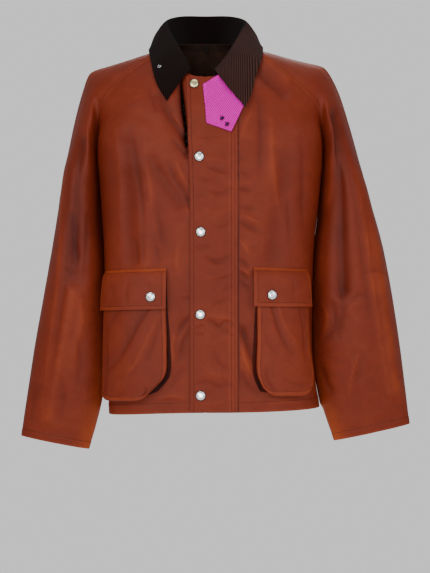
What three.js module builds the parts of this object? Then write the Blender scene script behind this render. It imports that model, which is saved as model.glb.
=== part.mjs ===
// A waxed cotton jacket, worn and closed, as a hollow shell of the pieces that a maker cuts.
// Millimetres. +X is the wearer's left, -Y the front, +Z up. The origin is midway between the
// shoulders at the height of the neck side.
import * as THREE from "three";

const CLOTH = 1.6; // waxed cotton wall
const CORD = 2.6; // corduroy, doubled
const SEAM_INSET = 0.24; // each sewn edge is drawn back this far from its seam line
const LAY_GAP = 0.9; // between a piece and the panel that it lies on
const CENTRE_FRONT = -12; // x of the line where the fronts meet
const CENTRE_BACK = -10;
const FRONT_EDGE_GAP = 3; // between the two fronts, under the placket
const FRONT_COLUMNS = 14;
const BACK_COLUMNS = 22;
const SLEEVE_COLUMNS = 12; // in each half of a sleeve
const RING_STEPS = 80; // fine steps along a rounded arc before it is spaced evenly

const COLOURS = {
  waxed: { color: 0x7a3522, roughness: 0.6, metalness: 0 },
  corduroy: { color: 0x2e1b17, roughness: 0.95, metalness: 0 },
  throat: { color: 0xe35cb8, roughness: 0.9, metalness: 0 },
  lining: { color: 0x4a3326, roughness: 0.9, metalness: 0 },
  steel: { color: 0xb9b9b6, roughness: 0.3, metalness: 1 },
  brass: { color: 0xd8c27a, roughness: 0.3, metalness: 1 },
};

// Raglan rows from the neck to just above the underarm. front and back are the raglan seams, ridge
// is the shoulder and overarm line, forward and up are how far the cloth between stands off.
const RAGLAN = {
  right: [
    { front: [-79, -30, -20], ridge: [-84, 12, -3], back: [-73, 50, 12], forward: 1, up: 1 },
    { front: [-127, -43, -39], ridge: [-130, 11, -15], back: [-118, 60, -16], forward: 5, up: 4 },
    { front: [-165, -62, -68], ridge: [-175, 10, -29], back: [-158, 68, -52], forward: 8, up: 6 },
    { front: [-196, -74, -100], ridge: [-215, 9, -41], back: [-190, 73, -92], forward: 10, up: 8 },
    { front: [-213, -74, -122], ridge: [-240, 8, -49], back: [-207, 72, -118], forward: 12, up: 8 },
    { front: [-224, -62, -142], ridge: [-251, 8, -57], back: [-219, 62, -142], forward: 22, up: 2 },
    { front: [-227, -45, -178], ridge: [-265, 6, -95], back: [-223, 50, -180], forward: 44, up: 0 },
    { front: [-227, -20, -232], ridge: [-283, 4, -165], back: [-224, 32, -235], forward: 72, up: 0 },
  ],
  left: [
    { front: [55, -30, -20], ridge: [60, 12, -2], back: [49, 50, 12], forward: 1, up: 1 },
    { front: [104, -43, -33], ridge: [112, 11, -11], back: [98, 60, -14], forward: 5, up: 4 },
    { front: [147, -62, -68], ridge: [158, 10, -23], back: [140, 68, -50], forward: 8, up: 6 },
    { front: [179, -74, -98], ridge: [199, 9, -33], back: [173, 73, -90], forward: 10, up: 8 },
    { front: [200, -74, -118], ridge: [224, 8, -39], back: [192, 72, -115], forward: 12, up: 8 },
    { front: [216, -62, -138], ridge: [236, 8, -46], back: [210, 62, -140], forward: 22, up: 2 },
    { front: [222, -45, -176], ridge: [259, 6, -86], back: [217, 50, -178], forward: 44, up: 0 },
    { front: [223, -20, -231], ridge: [286, 4, -168], back: [220, 32, -234], forward: 72, up: 0 },
  ],
};

// The fronts above the underarm, row by row with the raglan seam: y and z at the centre front, then
// points between it and the seam as share of the way, y and z. The first row is the neckline.
const CHEST = [
  { centre: [-103, -79], between: [[0.38, -98, -73], [0.75, -74, -53], [0.93, -46, -33]] },
  { centre: [-110, -103], between: [[0.43, -102, -90], [0.76, -77, -62]] },
  { centre: [-117, -133], between: [[0.42, -112, -117], [0.76, -92, -90]] },
  { centre: [-121, -162], between: [[0.42, -118, -149], [0.76, -101, -121]] },
  { centre: [-123, -185], between: [[0.42, -120, -173], [0.76, -105, -146]] },
  { centre: [-125, -205], between: [[0.42, -123, -195], [0.78, -108, -168]] },
  { centre: [-126, -230], between: [[0.42, -125, -223], [0.8, -108, -200], [0.97, -76, -184]] },
  { centre: [-127, -260], between: [[0.42, -126, -256], [0.82, -108, -245], [1.0, -56, -234]] },
];

// The back above the underarm in the same way.
const BLADES = [
  { centre: [88, 19], between: [[0.4, 84, 18.5], [0.75, 70, 15.5]] },
  { centre: [98, -10], between: [[0.5, 89, -11]] },
  { centre: [107, -42], between: [[0.5, 99, -44]] },
  { centre: [113, -76], between: [[0.5, 107, -80]] },
  { centre: [117, -104], between: [[0.5, 110, -108], [0.8, 97, -112]] },
  { centre: [119, -130], between: [[0.5, 113, -133], [0.82, 98, -138]] },
  { centre: [121, -172], between: [[0.5, 116, -174], [0.85, 96, -178], [0.98, 76, -180]] },
  { centre: [122, -230], between: [[0.5, 117, -231], [0.85, 95, -234], [1.0, 62, -235]] },
];

// Level rings of the body from the underarm to the hem. square is the exponent of the outline, 2
// for an ellipse and more for a boxier one. rise lifts the right and the left side of the hem.
const BODY = [
  { z: -290, centre: -2, half: 225, y: 5, front: 133, back: 118, square: 3.2, rise: [0, 0] },
  { z: -415, centre: -4.5, half: 213.5, y: 5, front: 134, back: 117, square: 3.6, rise: [0, 0] },
  { z: -540, centre: -4.5, half: 209.5, y: 5, front: 134, back: 117, square: 4.0, rise: [-1, 1] },
  { z: -640, centre: -3, half: 209, y: 5, front: 134, back: 118, square: 4.2, rise: [-3, 4] },
  { z: -741, centre: 6.5, half: 212.5, y: 5, front: 134, back: 120, square: 4.4, rise: [-7, 7] },
];

// Rings of each sleeve from the underarm to the cuff: x and z of the outer edge and of the
// underarm seam, the ring's middle in y and half its depth. The first inner end is the underarm.
const SLEEVE = {
  right: [
    { outer: [-301, -262], inner: null, y: 4, depth: 90, square: 2.1 },
    { outer: [-312, -336], inner: [-226, -352], y: 2, depth: 88, square: 2.2 },
    { outer: [-323, -405], inner: [-219, -420], y: -2, depth: 82, square: 2.2 },
    { outer: [-334, -469], inner: [-217, -482], y: -6, depth: 74, square: 2.2 },
    { outer: [-347, -543], inner: [-215.1, -553], y: -10, depth: 66, square: 2.2 },
    { outer: [-359, -612], inner: [-213.4, -623], y: -15, depth: 56, square: 2.2 },
    { outer: [-372, -700], inner: [-220, -713], y: -20, depth: 42, square: 2.2 },
    { outer: [-380, -755], inner: [-234, -775], y: -24, depth: 31, square: 2.2 },
    { outer: [-385, -795], inner: [-248, -822], y: -27, depth: 22, square: 2.2 },
  ],
  left: [
    { outer: [313, -272], inner: null, y: 4, depth: 90, square: 2.1 },
    { outer: [331, -338], inner: [220.5, -350], y: 2, depth: 88, square: 2.2 },
    { outer: [350, -408], inner: [210.4, -420], y: -2, depth: 82, square: 2.2 },
    { outer: [363, -473], inner: [207.8, -484], y: -6, depth: 74, square: 2.2 },
    { outer: [375, -545], inner: [206.4, -552], y: -10, depth: 66, square: 2.2 },
    { outer: [385, -615], inner: [206.9, -620], y: -15, depth: 56, square: 2.2 },
    { outer: [394, -690], inner: [216.4, -700], y: -20, depth: 42, square: 2.2 },
    { outer: [399, -735], inner: [234, -760], y: -24, depth: 31, square: 2.2 },
    { outer: [403, -771], inner: [250, -805], y: -27, depth: 22, square: 2.2 },
  ],
};

// How a sleeve's rows bulge between the raglan seam and the ridge: at that share of the way, by that
// share of the row's forward.
const CAP_BULGE = [{ at: 0.33, forward: 1 }, { at: 0.7, forward: 0.8 }];

// Stops between the rows of the tables above where a panel gets a row of points.
const RAGLAN_STOPS = [0, 0.8, 1.6, 2.4, 3.2, 4, 4.6, 5.2, 6, 6.7, 7.35, 8];
const BODY_ROWS = 12;
const SLEEVE_ROWS = 13;

// The largest folds, as lines seen from the front or the back, with how wide each reaches and how
// far it raises the cloth. A negative height is a trough.
const FOLDS = [
  { facing: -1, from: [-264, -205], to: [-273, -480], width: 15, height: -9 },
  { facing: -1, from: [-268, -456], to: [-330, -760], width: 13, height: 4 },
  { facing: -1, from: [251, -150], to: [262, -500], width: 15, height: -10 },
  { facing: -1, from: [306, -230], to: [372, -700], width: 13, height: 4 },
  { facing: -1, from: [-104, -116], to: [-51, -204], width: 12, height: -4 },
  { facing: -1, from: [-120, -244], to: [-60, -330], width: 13, height: -4 },
  { facing: -1, from: [-172, -215], to: [-158, -440], width: 16, height: -4 },
  { facing: -1, from: [-135, -300], to: [-130, -450], width: 14, height: 3 },
  { facing: -1, from: [98, -22], to: [154, -76], width: 10, height: 4 },
  { facing: -1, from: [84, -52], to: [144, -108], width: 11, height: -5 },
  { facing: -1, from: [150, -240], to: [120, -440], width: 18, height: -4 },
  { facing: 1, from: [-170, -150], to: [-120, -420], width: 18, height: -5 },
  { facing: 1, from: [150, -150], to: [110, -430], width: 18, height: -5 },
  { facing: 1, from: [-20, -300], to: [-30, -640], width: 20, height: 4 },
  { facing: 1, from: [-262, -230], to: [-275, -500], width: 15, height: -7 },
  { facing: 1, from: [256, -210], to: [280, -520], width: 15, height: -2 },
];
// A fold fades in where the cloth turns its way, as the size of its normal along Y grows.
const FOLD_FACING = { none: 0.1, full: 0.6 };

// The collar from its right front end (at 0) round the back to its left front end (at 1). fold is
// the line it turns over on, drape and edge are the middle and the edge of the fall. Where lift is
// given, y is measured from the front panels, that far in front of them.
const COLLAR = [
  { at: 0, fold: [-40, -98, -61], drape: [-62, 7, -92], edge: [-86, 5, -127], lift: true },
  { at: 0.06, fold: [-45, -87, -48], drape: [-72, 8, -80], edge: [-99, 5, -107], lift: true },
  { at: 0.12, fold: [-53, -68, -31], drape: [-83, 10, -58], edge: [-110, 5, -85], lift: true },
  { at: 0.2, fold: [-68, -36, -1], drape: [-100, -46, -16], edge: [-121, -52, -40] },
  { at: 0.28, fold: [-84, -4, 30], drape: [-112, -5, 14], edge: [-128, -3, -8] },
  { at: 0.36, fold: [-92, 28, 56], drape: [-114, 38, 32], edge: [-124, 50, -6] },
  { at: 0.43, fold: [-66, 63, 72], drape: [-78, 86, 44], edge: [-86, 99, -4] },
  { at: 0.5, fold: [-12, 82, 76], drape: [-12, 104, 44], edge: [-12, 112, 0] },
  { at: 0.57, fold: [42, 63, 72], drape: [54, 86, 44], edge: [62, 99, -4] },
  { at: 0.64, fold: [70, 28, 56], drape: [92, 38, 32], edge: [102, 50, -4] },
  { at: 0.72, fold: [60, -4, 30], drape: [88, -5, 15], edge: [106, -6, -3] },
  { at: 0.8, fold: [45, -36, -1], drape: [79, -48, -15], edge: [103, -58, -34] },
  { at: 0.88, fold: [29, -68, -31], drape: [64, 14, -60], edge: [86, 8, -86], lift: true },
  { at: 0.94, fold: [16, -88, -49], drape: [49, 17, -89], edge: [78, 12, -119], lift: true },
  { at: 1, fold: [6, -102, -62], drape: [30, 16, -102], edge: [66, 13, -142], lift: true },
];
const COLLAR_STATIONS = 45;
const COLLAR_SECTION = [0, 0.6, 1.2, 1.65, 2, 2.35, 2.7, 3.2, 3.6, 4]; // 2 is the fold, 4 the edge
const COLLAR_LIFT = 0.8; // from the neckline to the foot of the stand

// The placket from its free edge, over the right front, to its seam on the left front. It stands
// off by standOff at the free edge and settles to seamGap between those shares of its width. The
// free edge starts further out at the neck and comes in to its own line by the height evenFrom.
const PLACKET = { free: -40, seam: 52, top: -79, bottom: -740, standOff: 3.6, seamGap: 1.2 };
const PLACKET_NECK = { free: -48, evenFrom: -320 };
const PLACKET_SETTLES = { from: 0.3, to: 0.9 };
const NECK_CLEARANCE = 1; // the placket ends this far under the neckline
const PLACKET_COLUMNS = 8;
const PLACKET_ROWS = 26;
// Snap caps and the eyelet: foot is how far they sit off the cloth.
const SNAP = { radius: 9.8, height: 3.2, foot: 0.5, segments: 16 };
const CAP_PROFILE = [[0, 0], [1, 0], [1, 0.45], [0.82, 0.9], [0.6, 1], [0, 0.86]]; // of both sizes
// Press snaps down the placket. The one nearest the neck is brass.
const SNAPS = [
  { x: -33, z: -94, metal: "brass" },
  { x: -23, z: -238, metal: "steel" },
  { x: -20, z: -386, metal: "steel" },
  { x: -21, z: -548, metal: "steel" },
  { x: -20, z: -707, metal: "steel" },
];
const EYELET = { radius: 3.6, height: 1.2, foot: 0.4, segments: 12, x: -103, z: -54 };

// Corners of the throat tab as seen from the front, from its near top corner round by the bottom.
const TAB_CORNERS = {
  topNear: [-15, -96],
  topFar: [15, -76],
  bottomNear: [-9, -172],
  bottomFar: [40, -190],
  side: [66, -134],
};
const TAB_STAND_OFF = 8.2;
const TAB_POINTS = 6; // along each way

// Pockets and flaps, laid out on the front: run is the way along the cloth from the centre front,
// z is the height. Each outline goes from its top near the centre front round by the bottom.
const POCKETS = {
  right: {
    near: [[74, -472], [74, -540], [72, -615], [75, -665], [96, -690]],
    bottom: [[96, -690], [121, -712], [150, -714], [190, -711], [201, -704]],
    far: [[208, -474], [208, -545], [207, -640], [205, -685], [201, -704]],
    flap: { near: 74, far: 208, topNear: -457, topFar: -462, depth: 80, farDepth: 78 },
    snap: { run: 103, z: -513 },
  },
  left: {
    near: [[100, -468], [100, -532], [100, -600], [100, -664], [111, -692]],
    bottom: [[111, -692], [129, -708], [157, -711], [193, -711], [202, -700]],
    far: [[205, -470], [205, -544], [205, -614], [209, -674], [202, -700]],
    flap: { near: 94, far: 206, topNear: -455, topFar: -460, depth: 77, farDepth: 74 },
    snap: { run: 128, z: -510 },
  },
};
const POCKET_COLUMNS = 10;
const POCKET_ROWS = 10;
const POCKET_MOUTH = 6.8; // how far the face stands off the panel at its open top
const POCKET_FOOT = 20; // and at its bottom
const POCKET_SWELL = 4;
const GUSSET_TUCK = 6; // how far the gusset runs in under the face
const GUSSET_FLARE = 9; // and out past the foot of its edge near the centre front
const GUSSET_TURN = 0.25; // share across where the flare has become the tuck
const FLAP_COLUMNS = 9;
const FLAP_HEIGHTS = [0, 8, 18, 34, 52, 68, 80]; // down the flap, for a flap 80 deep
const FLAP_STAND_OFF = [2.8, 9.3, 12, 13.8, 15.4, 16.4, 17.2];
const FLAP_SNAP_OUT = 16;

// The strip inside the back neck, and the hanging loop on it: how far down the back and how far
// in from its outer side.
const NECK_STRIP = { wall: 1, top: 1.5, bottom: 15, inset: CLOTH + 0.5, ends: 3 };
const LOOP = { wall: 1.2, width: 6 };
const LOOP_PATH = [[2, 3.7], [9, 4], [16, 4.4], [18.4, 5.9], [16, 7.4], [9, 7.6], [3, 7.6]];

const vec = (p) => new THREE.Vector3(...p);
const { lerp, smoothstep, clamp } = THREE.MathUtils;
const signedPower = (base, power) => Math.sign(base) * Math.abs(base) ** power;
const blend = (a, b, share) => [lerp(a[0], b[0], share), lerp(a[1], b[1], share)];

// A polyline respaced to evenly placed points.
function respace(points, count) {
  const run = [0];
  for (let i = 1; i < points.length; i++) {
    run.push(run[i - 1] + points[i].distanceTo(points[i - 1]));
  }
  return Array.from({ length: count }, (_, k) => {
    const reach = (run.at(-1) * k) / (count - 1);
    let i = 1;
    while (i < points.length - 1 && run[i] < reach) i++;
    return points[i - 1].clone().lerp(points[i], (reach - run[i - 1]) / (run[i] - run[i - 1]));
  });
}

// A smooth curve through points, as evenly spaced points.
function curveThrough(points, count) {
  const curve = new THREE.CatmullRomCurve3(points, false, "centripetal");
  return curve.getSpacedPoints(count - 1);
}

// Rows of points joined down their columns by smooth curves, which are cut at the stops.
function loft(rows, stops) {
  const last = rows.length - 1;
  const columns = rows[0].map((_, c) => {
    return new THREE.CatmullRomCurve3(rows.map((row) => row[c]), false, "centripetal");
  });
  return stops.map((stop) => columns.map((curve) => curve.getPoint(stop / last)));
}

// An arc of a rounded ring: angle 0 lies along across and a quarter turn along deep.
function ringArc({ centre, across, deep, square }, from, to, count) {
  const dense = Array.from({ length: RING_STEPS + 1 }, (_, i) => {
    const angle = lerp(from, to, i / RING_STEPS);
    const point = centre.clone();
    point.addScaledVector(across, signedPower(Math.cos(angle), 2 / square));
    return point.addScaledVector(deep, signedPower(Math.sin(angle), 2 / square));
  });
  return respace(dense, count);
}

const sign = (side) => (side === "right" ? -1 : 1);

function riseOf(ring, side) {
  return ring.rise[side === "right" ? 0 : 1];
}

// The body ring's own point on the side seam.
function sidePoint(ring, side) {
  return vec([ring.centre + sign(side) * ring.half, ring.y, ring.z + riseOf(ring, side)]);
}

// A level stretch of the body from the centre line at x to the side seam, at the front or back.
function bodyArc(ring, side, facing, x, count) {
  const share = (sign(side) * (x - ring.centre)) / ring.half;
  const start = Math.acos(signedPower(share, ring.square / 2));
  const arc = ringArc(
    {
      centre: vec([ring.centre, ring.y, ring.z]),
      across: vec([sign(side) * ring.half, 0, 0]),
      deep: vec([0, facing * (facing < 0 ? ring.front : ring.back), 0]),
      square: ring.square,
    },
    start,
    0,
    count,
  );
  for (const point of arc) {
    point.z += riseOf(ring, side) * ((point.x - ring.centre) / ring.half) ** 2;
  }
  return arc;
}

// A row of the upper body from its centre line to the raglan seam.
function upperRow(row, seam, x, count) {
  const points = [vec([x, ...row.centre])];
  for (const [share, y, z] of row.between) points.push(vec([lerp(x, seam[0], share), y, z]));
  points.push(vec(seam));
  return curveThrough(points, count);
}

// Half of a sleeve's row above the underarm, from the raglan seam to the ridge.
function capRow(seam, ridge, facing, row, count) {
  const between = CAP_BULGE.map(({ at, forward }) => {
    const bulge = vec([0, facing * row.forward * forward, row.up]);
    return vec(seam).lerp(vec(ridge), at).add(bulge);
  });
  return curveThrough([vec(seam), ...between, vec(ridge)], count);
}

// Half of a sleeve's ring below the underarm, from the underarm seam to the outer edge.
function sleeveArc(ring, side, facing, count) {
  const underarm = sidePoint(BODY[0], side);
  const inner = ring.inner ? vec([ring.inner[0], ring.y, ring.inner[1]]) : underarm;
  const outer = vec([ring.outer[0], ring.y, ring.outer[1]]);
  return ringArc(
    {
      centre: inner.clone().lerp(outer, 0.5),
      across: outer.clone().sub(inner).multiplyScalar(0.5),
      deep: vec([0, facing * ring.depth, 0]),
      square: ring.square,
    },
    Math.PI,
    0,
    count,
  );
}

const raglanLast = RAGLAN.right.length;
const spread = (first, last, count) => {
  return Array.from({ length: count }, (_, i) => lerp(first, last, (i + 1) / count));
};
const BODY_STOPS = [...RAGLAN_STOPS, ...spread(raglanLast, raglanLast + BODY.length - 1, BODY_ROWS)];
const SLEEVE_STOPS = [
  ...RAGLAN_STOPS,
  ...spread(raglanLast, raglanLast + SLEEVE.right.length - 1, SLEEVE_ROWS),
];

// Seam lines that two pieces share, worked out once so that their points agree.
function seamLine(points, stops, first) {
  const curve = new THREE.CatmullRomCurve3(points, false, "centripetal");
  return stops.map((stop) => curve.getPoint((stop - first) / (points.length - 1)));
}

function seamsOf(side) {
  const underarm = sidePoint(BODY[0], side);
  const rows = RAGLAN[side];
  const lowerBody = BODY_STOPS.filter((stop) => stop > raglanLast);
  const lowerSleeve = SLEEVE_STOPS.filter((stop) => stop > raglanLast);
  const inner = SLEEVE[side].slice(1).map((ring) => vec([ring.inner[0], ring.y, ring.inner[1]]));
  return {
    front: seamLine([...rows.map((row) => vec(row.front)), underarm], RAGLAN_STOPS, 0),
    back: seamLine([...rows.map((row) => vec(row.back)), underarm], RAGLAN_STOPS, 0),
    side: seamLine(BODY.map((ring) => sidePoint(ring, side)), lowerBody, raglanLast),
    underarm: seamLine([underarm, ...inner], lowerSleeve, raglanLast),
  };
}

// Puts the points of a seam line, and of the one that follows it, in a column of a grid.
function pin(grid, column, lines) {
  lines.flat().forEach((point, row) => grid[row].splice(column, 1, point.clone()));
}

const seams = { right: seamsOf("right"), left: seamsOf("left") };

function frontGrid(side) {
  const x = CENTRE_FRONT + (sign(side) * FRONT_EDGE_GAP) / 2;
  const rows = CHEST.map((row, i) => upperRow(row, RAGLAN[side][i].front, x, FRONT_COLUMNS));
  for (const ring of BODY) rows.push(bodyArc(ring, side, -1, x, FRONT_COLUMNS));
  const grid = loft(rows, BODY_STOPS);
  pin(grid, FRONT_COLUMNS - 1, [seams[side].front, seams[side].side]);
  return grid;
}

function backGrid() {
  const half = (side) => {
    const count = BACK_COLUMNS / 2 + 1;
    const rows = BLADES.map((row, i) => upperRow(row, RAGLAN[side][i].back, CENTRE_BACK, count));
    for (const ring of BODY) rows.push(bodyArc(ring, side, 1, CENTRE_BACK, count));
    const grid = loft(rows, BODY_STOPS);
    pin(grid, count - 1, [seams[side].back, seams[side].side]);
    return grid;
  };
  const [right, left] = [half("right"), half("left")];
  return right.map((row, i) => [...row.reverse(), ...left[i].slice(1)]);
}

function sleeveGrid(side, facing) {
  const edge = facing < 0 ? "front" : "back";
  const rows = RAGLAN[side].map((row) => {
    return capRow(row[edge], row.ridge, facing, row, SLEEVE_COLUMNS);
  });
  for (const ring of SLEEVE[side]) rows.push(sleeveArc(ring, side, facing, SLEEVE_COLUMNS));
  const grid = loft(rows, SLEEVE_STOPS);
  pin(grid, 0, [seams[side][edge], seams[side].underarm]);
  return facing < 0 ? grid : grid.map((row) => row.reverse());
}

// A sheet of triangles over a grid of points. Turned sheets have their faces the other way.
function sheetOf(grid, turned) {
  const [rows, columns] = [grid.length, grid[0].length];
  const triangles = [];
  for (let r = 0; r < rows - 1; r++) {
    for (let c = 0; c < columns - 1; c++) {
      const corner = r * columns + c;
      const [a, b, d, e] = [corner, corner + 1, corner + columns, corner + columns + 1];
      const faces = (r + c) % 2 ? [[a, b, e], [a, e, d]] : [[a, b, d], [b, e, d]];
      for (const [p, q, s] of faces) triangles.push(turned ? [p, s, q] : [p, q, s]);
    }
  }
  return { points: grid.flat(), triangles, rows, columns };
}

// Smooth normals, shared where points of any of the sheets fall together.
function addNormals(sheets) {
  const key = (p) => p.toArray().map((v) => Math.round(v * 1000)).join();
  const sums = new Map();
  for (const { points, triangles } of sheets) {
    for (const [a, b, c] of triangles) {
      const face = points[b].clone().sub(points[a]).cross(points[c].clone().sub(points[a]));
      for (const index of [a, b, c]) {
        const at = key(points[index]);
        if (!sums.has(at)) sums.set(at, new THREE.Vector3());
        sums.get(at).add(face);
      }
    }
  }
  for (const sheet of sheets) {
    sheet.normals = sheet.points.map((p) => sums.get(key(p)).clone().normalize());
  }
}

// How far the folds raise the cloth at a point.
function foldHeight(point, normal) {
  let height = 0;
  for (const fold of FOLDS) {
    const [from, to] = [new THREE.Vector2(...fold.from), new THREE.Vector2(...fold.to)];
    const along = to.clone().sub(from);
    const offset = new THREE.Vector2(point.x, point.z).sub(from);
    const share = offset.dot(along) / along.lengthSq();
    const near = from.clone().addScaledVector(along, clamp(share, 0, 1));
    const away = near.distanceTo(new THREE.Vector2(point.x, point.z)) / fold.width;
    const faced = smoothstep(normal.y * fold.facing, FOLD_FACING.none, FOLD_FACING.full);
    height += fold.height * faced * Math.exp(-(away ** 2));
  }
  return height;
}

// Draws the points on the sewn edges of a grid sheet back from the seam line.
function openSeams(sheet, edges) {
  const { rows, columns, points } = sheet;
  const moved = points.map((p) => p.clone());
  const shift = (index, towards) => {
    moved[index].add(points[towards].clone().sub(points[index]).setLength(SEAM_INSET));
  };
  for (let r = 0; r < rows; r++) {
    if (edges.includes("first")) shift(r * columns, r * columns + 1);
    if (edges.includes("last")) shift((r + 1) * columns - 1, (r + 1) * columns - 2);
  }
  sheet.points = moved;
}

// A closed wall: the sheet is its outer side, and the inner side lies one thickness behind it.
function wallOf(sheet, thickness) {
  const { points, normals, triangles } = sheet;
  const count = points.length;
  const inner = points.map((p, i) => p.clone().addScaledVector(normals[i], -thickness));
  const faces = triangles.map((t) => [...t]);
  for (const [a, b, c] of triangles) faces.push([a + count, c + count, b + count]);
  const edges = new Map();
  for (const [a, b, c] of triangles) {
    for (const [p, q] of [[a, b], [b, c], [c, a]]) edges.set(p + "," + q, [p, q]);
  }
  for (const [p, q] of edges.values()) {
    if (edges.has(q + "," + p)) continue;
    faces.push([p, p + count, q], [q, p + count, q + count]);
  }
  const geometry = new THREE.BufferGeometry().setFromPoints([...points, ...inner]);
  geometry.setIndex(faces.flat());
  return geometry;
}

// The body and sleeve panels
const frontRight = sheetOf(frontGrid("right"), false);
const frontLeft = sheetOf(frontGrid("left"), true);
const back = sheetOf(backGrid(), false);
const panels = {
  front_right: { sheet: frontRight, sewn: ["last"] },
  front_left: { sheet: frontLeft, sewn: ["last"] },
  back: { sheet: back, sewn: ["first", "last"] },
};
for (const side of ["right", "left"]) {
  const turned = side === "left";
  for (const [half, facing] of [["front", -1], ["back", 1]]) {
    const sheet = sheetOf(sleeveGrid(side, facing), turned);
    panels[`sleeve_${half}_${side}`] = { sheet, sewn: ["first", "last"] };
  }
}
const allSheets = Object.values(panels).map((panel) => panel.sheet);
addNormals(allSheets);
for (const sheet of allSheets) {
  sheet.points = sheet.points.map((point, i) => {
    return point.clone().addScaledVector(sheet.normals[i], foldHeight(point, sheet.normals[i]));
  });
}
addNormals(allSheets);

const HEM_SEARCH = -730; // below this, a point just past the hem takes the cloth above it

// Where a line along Y at x and z first meets the outer side of the sheets, or nothing: the point
// and the smooth normal there.
function facingPoint(sheets, x, z) {
  let best = null;
  for (const { points, normals, triangles } of sheets) {
    for (const corners of triangles) {
      const [a, b, c] = corners.map((i) => points[i]);
      const area = (b.x - a.x) * (c.z - a.z) - (c.x - a.x) * (b.z - a.z);
      if (Math.abs(area) < 1e-9) continue;
      const v = ((x - a.x) * (c.z - a.z) - (c.x - a.x) * (z - a.z)) / area;
      const w = ((b.x - a.x) * (z - a.z) - (x - a.x) * (b.z - a.z)) / area;
      if (v < -1e-6 || w < -1e-6 || v + w > 1 + 1e-6) continue;
      const share = [1 - v - w, v, w];
      const mix = (list) => {
        const sum = new THREE.Vector3();
        corners.forEach((i, k) => sum.addScaledVector(list[i], share[k]));
        return sum;
      };
      const [point, normal] = [mix(points), mix(normals).normalize()];
      if (normal.y < 0 && (!best || point.y < best.point.y)) best = { point, normal };
    }
  }
  return best;
}

// The front of the panels at x and z, also between the two fronts and just past the hem.
function frontAt(x, z) {
  const best = facingPoint(allSheets, x, z);
  if (best) return best;
  const fromEdge = x - CENTRE_FRONT || 1;
  if (Math.abs(fromEdge) < FRONT_EDGE_GAP) {
    return frontAt(CENTRE_FRONT + FRONT_EDGE_GAP * Math.sign(fromEdge), z);
  }
  if (z < HEM_SEARCH) return frontAt(x, z + 1);
  throw new Error(`no cloth at ${x}, ${z}`);
}

// A point that far outside the front panels, seen at x and z from the front.
function overFront(x, z, out) {
  const { point, normal } = frontAt(x, z);
  return new THREE.Vector3(x, point.y, z).addScaledVector(normal, out);
}

// A point of a front below the underarm, by its run along the cloth and its height.
function alongFront(side, run, z, out) {
  const sheet = side === "right" ? frontRight : frontLeft;
  const { columns, points, normals } = sheet;
  const first = RAGLAN_STOPS.length - 1;
  let row = first;
  while (row < sheet.rows - 2 && points[(row + 1) * columns].z > z) row++;
  const down = (points[row * columns].z - z)
    / (points[row * columns].z - points[(row + 1) * columns].z);
  const at = (index) => {
    let left = run;
    for (let c = index * columns; c < (index + 1) * columns - 1; c++) {
      const step = points[c].distanceTo(points[c + 1]);
      if (left <= step || c === (index + 1) * columns - 2) {
        return [points, normals].map((list) => list[c].clone().lerp(list[c + 1], left / step));
      }
      left -= step;
    }
  };
  const [upper, lower] = [at(row), at(row + 1)];
  const point = upper[0].lerp(lower[0], down);
  return point.addScaledVector(upper[1].lerp(lower[1], down).normalize(), out);
}

// The collar
function neckline() {
  const top = (name) => panels[name].sheet.points.slice(0, panels[name].sheet.columns);
  const start = COLLAR[0].fold[0];
  const end = COLLAR.at(-1).fold[0];
  const line = [
    ...top("front_right").filter((p) => p.x <= start),
    ...top("sleeve_front_right").slice(1),
    ...top("sleeve_back_right").slice(1),
    ...top("back").slice(1),
    ...top("sleeve_back_left").reverse().slice(1),
    ...top("sleeve_front_left").reverse().slice(1),
    ...top("front_left").reverse().slice(1).filter((p) => p.x >= end),
  ];
  return respace(line, COLLAR_STATIONS);
}

function collarSheet() {
  const track = (name) => {
    return new THREE.CatmullRomCurve3(
      COLLAR.map((row) => {
        const [x, y, z] = row[name];
        return row.lift && name !== "fold" ? overFront(x, z, y) : vec([x, y, z]);
      }),
      false,
      "centripetal",
    );
  };
  const tracks = ["fold", "drape", "edge"].map(track);
  const last = COLLAR.length - 1;
  const rows = neckline().map((foot, i) => {
    const at = i / (COLLAR_STATIONS - 1);
    let k = 0;
    while (k < last - 1 && COLLAR[k + 1].at < at) k++;
    const share = (k + (at - COLLAR[k].at) / (COLLAR[k + 1].at - COLLAR[k].at)) / last;
    const [fold, drape, edge] = tracks.map((curve) => curve.getPoint(share));
    const rise = fold.clone().sub(foot);
    foot.addScaledVector(rise.clone().normalize(), COLLAR_LIFT);
    const section = [foot, foot.clone().lerp(fold, 0.5), fold, drape, edge];
    const curve = new THREE.CatmullRomCurve3(section, false, "centripetal");
    return COLLAR_SECTION.map((stop) => curve.getPoint(stop / (section.length - 1)));
  });
  return sheetOf(rows, true);
}

// How far the outer side of the placket stands off the panels at x
function placketOut(x) {
  const share = (x - PLACKET.free) / (PLACKET.seam - PLACKET.free);
  const settled = smoothstep(share, PLACKET_SETTLES.from, PLACKET_SETTLES.to);
  return lerp(PLACKET.standOff, PLACKET.seamGap, settled) + CLOTH;
}

// The placket
function placketSheet() {
  const { seam, top, bottom } = PLACKET;
  const grid = Array.from({ length: PLACKET_ROWS }, (_, r) => {
    const z = lerp(top, bottom, r / (PLACKET_ROWS - 1));
    const widened = 1 - clamp((z - top) / (PLACKET_NECK.evenFrom - top), 0, 1);
    const free = lerp(PLACKET.free, PLACKET_NECK.free, widened);
    return Array.from({ length: PLACKET_COLUMNS }, (_, c) => {
      const x = lerp(free, seam, c / (PLACKET_COLUMNS - 1));
      return overFront(x, Math.min(z, neckZ(x)), placketOut(x));
    });
  });
  return sheetOf(grid, true);
}

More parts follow.
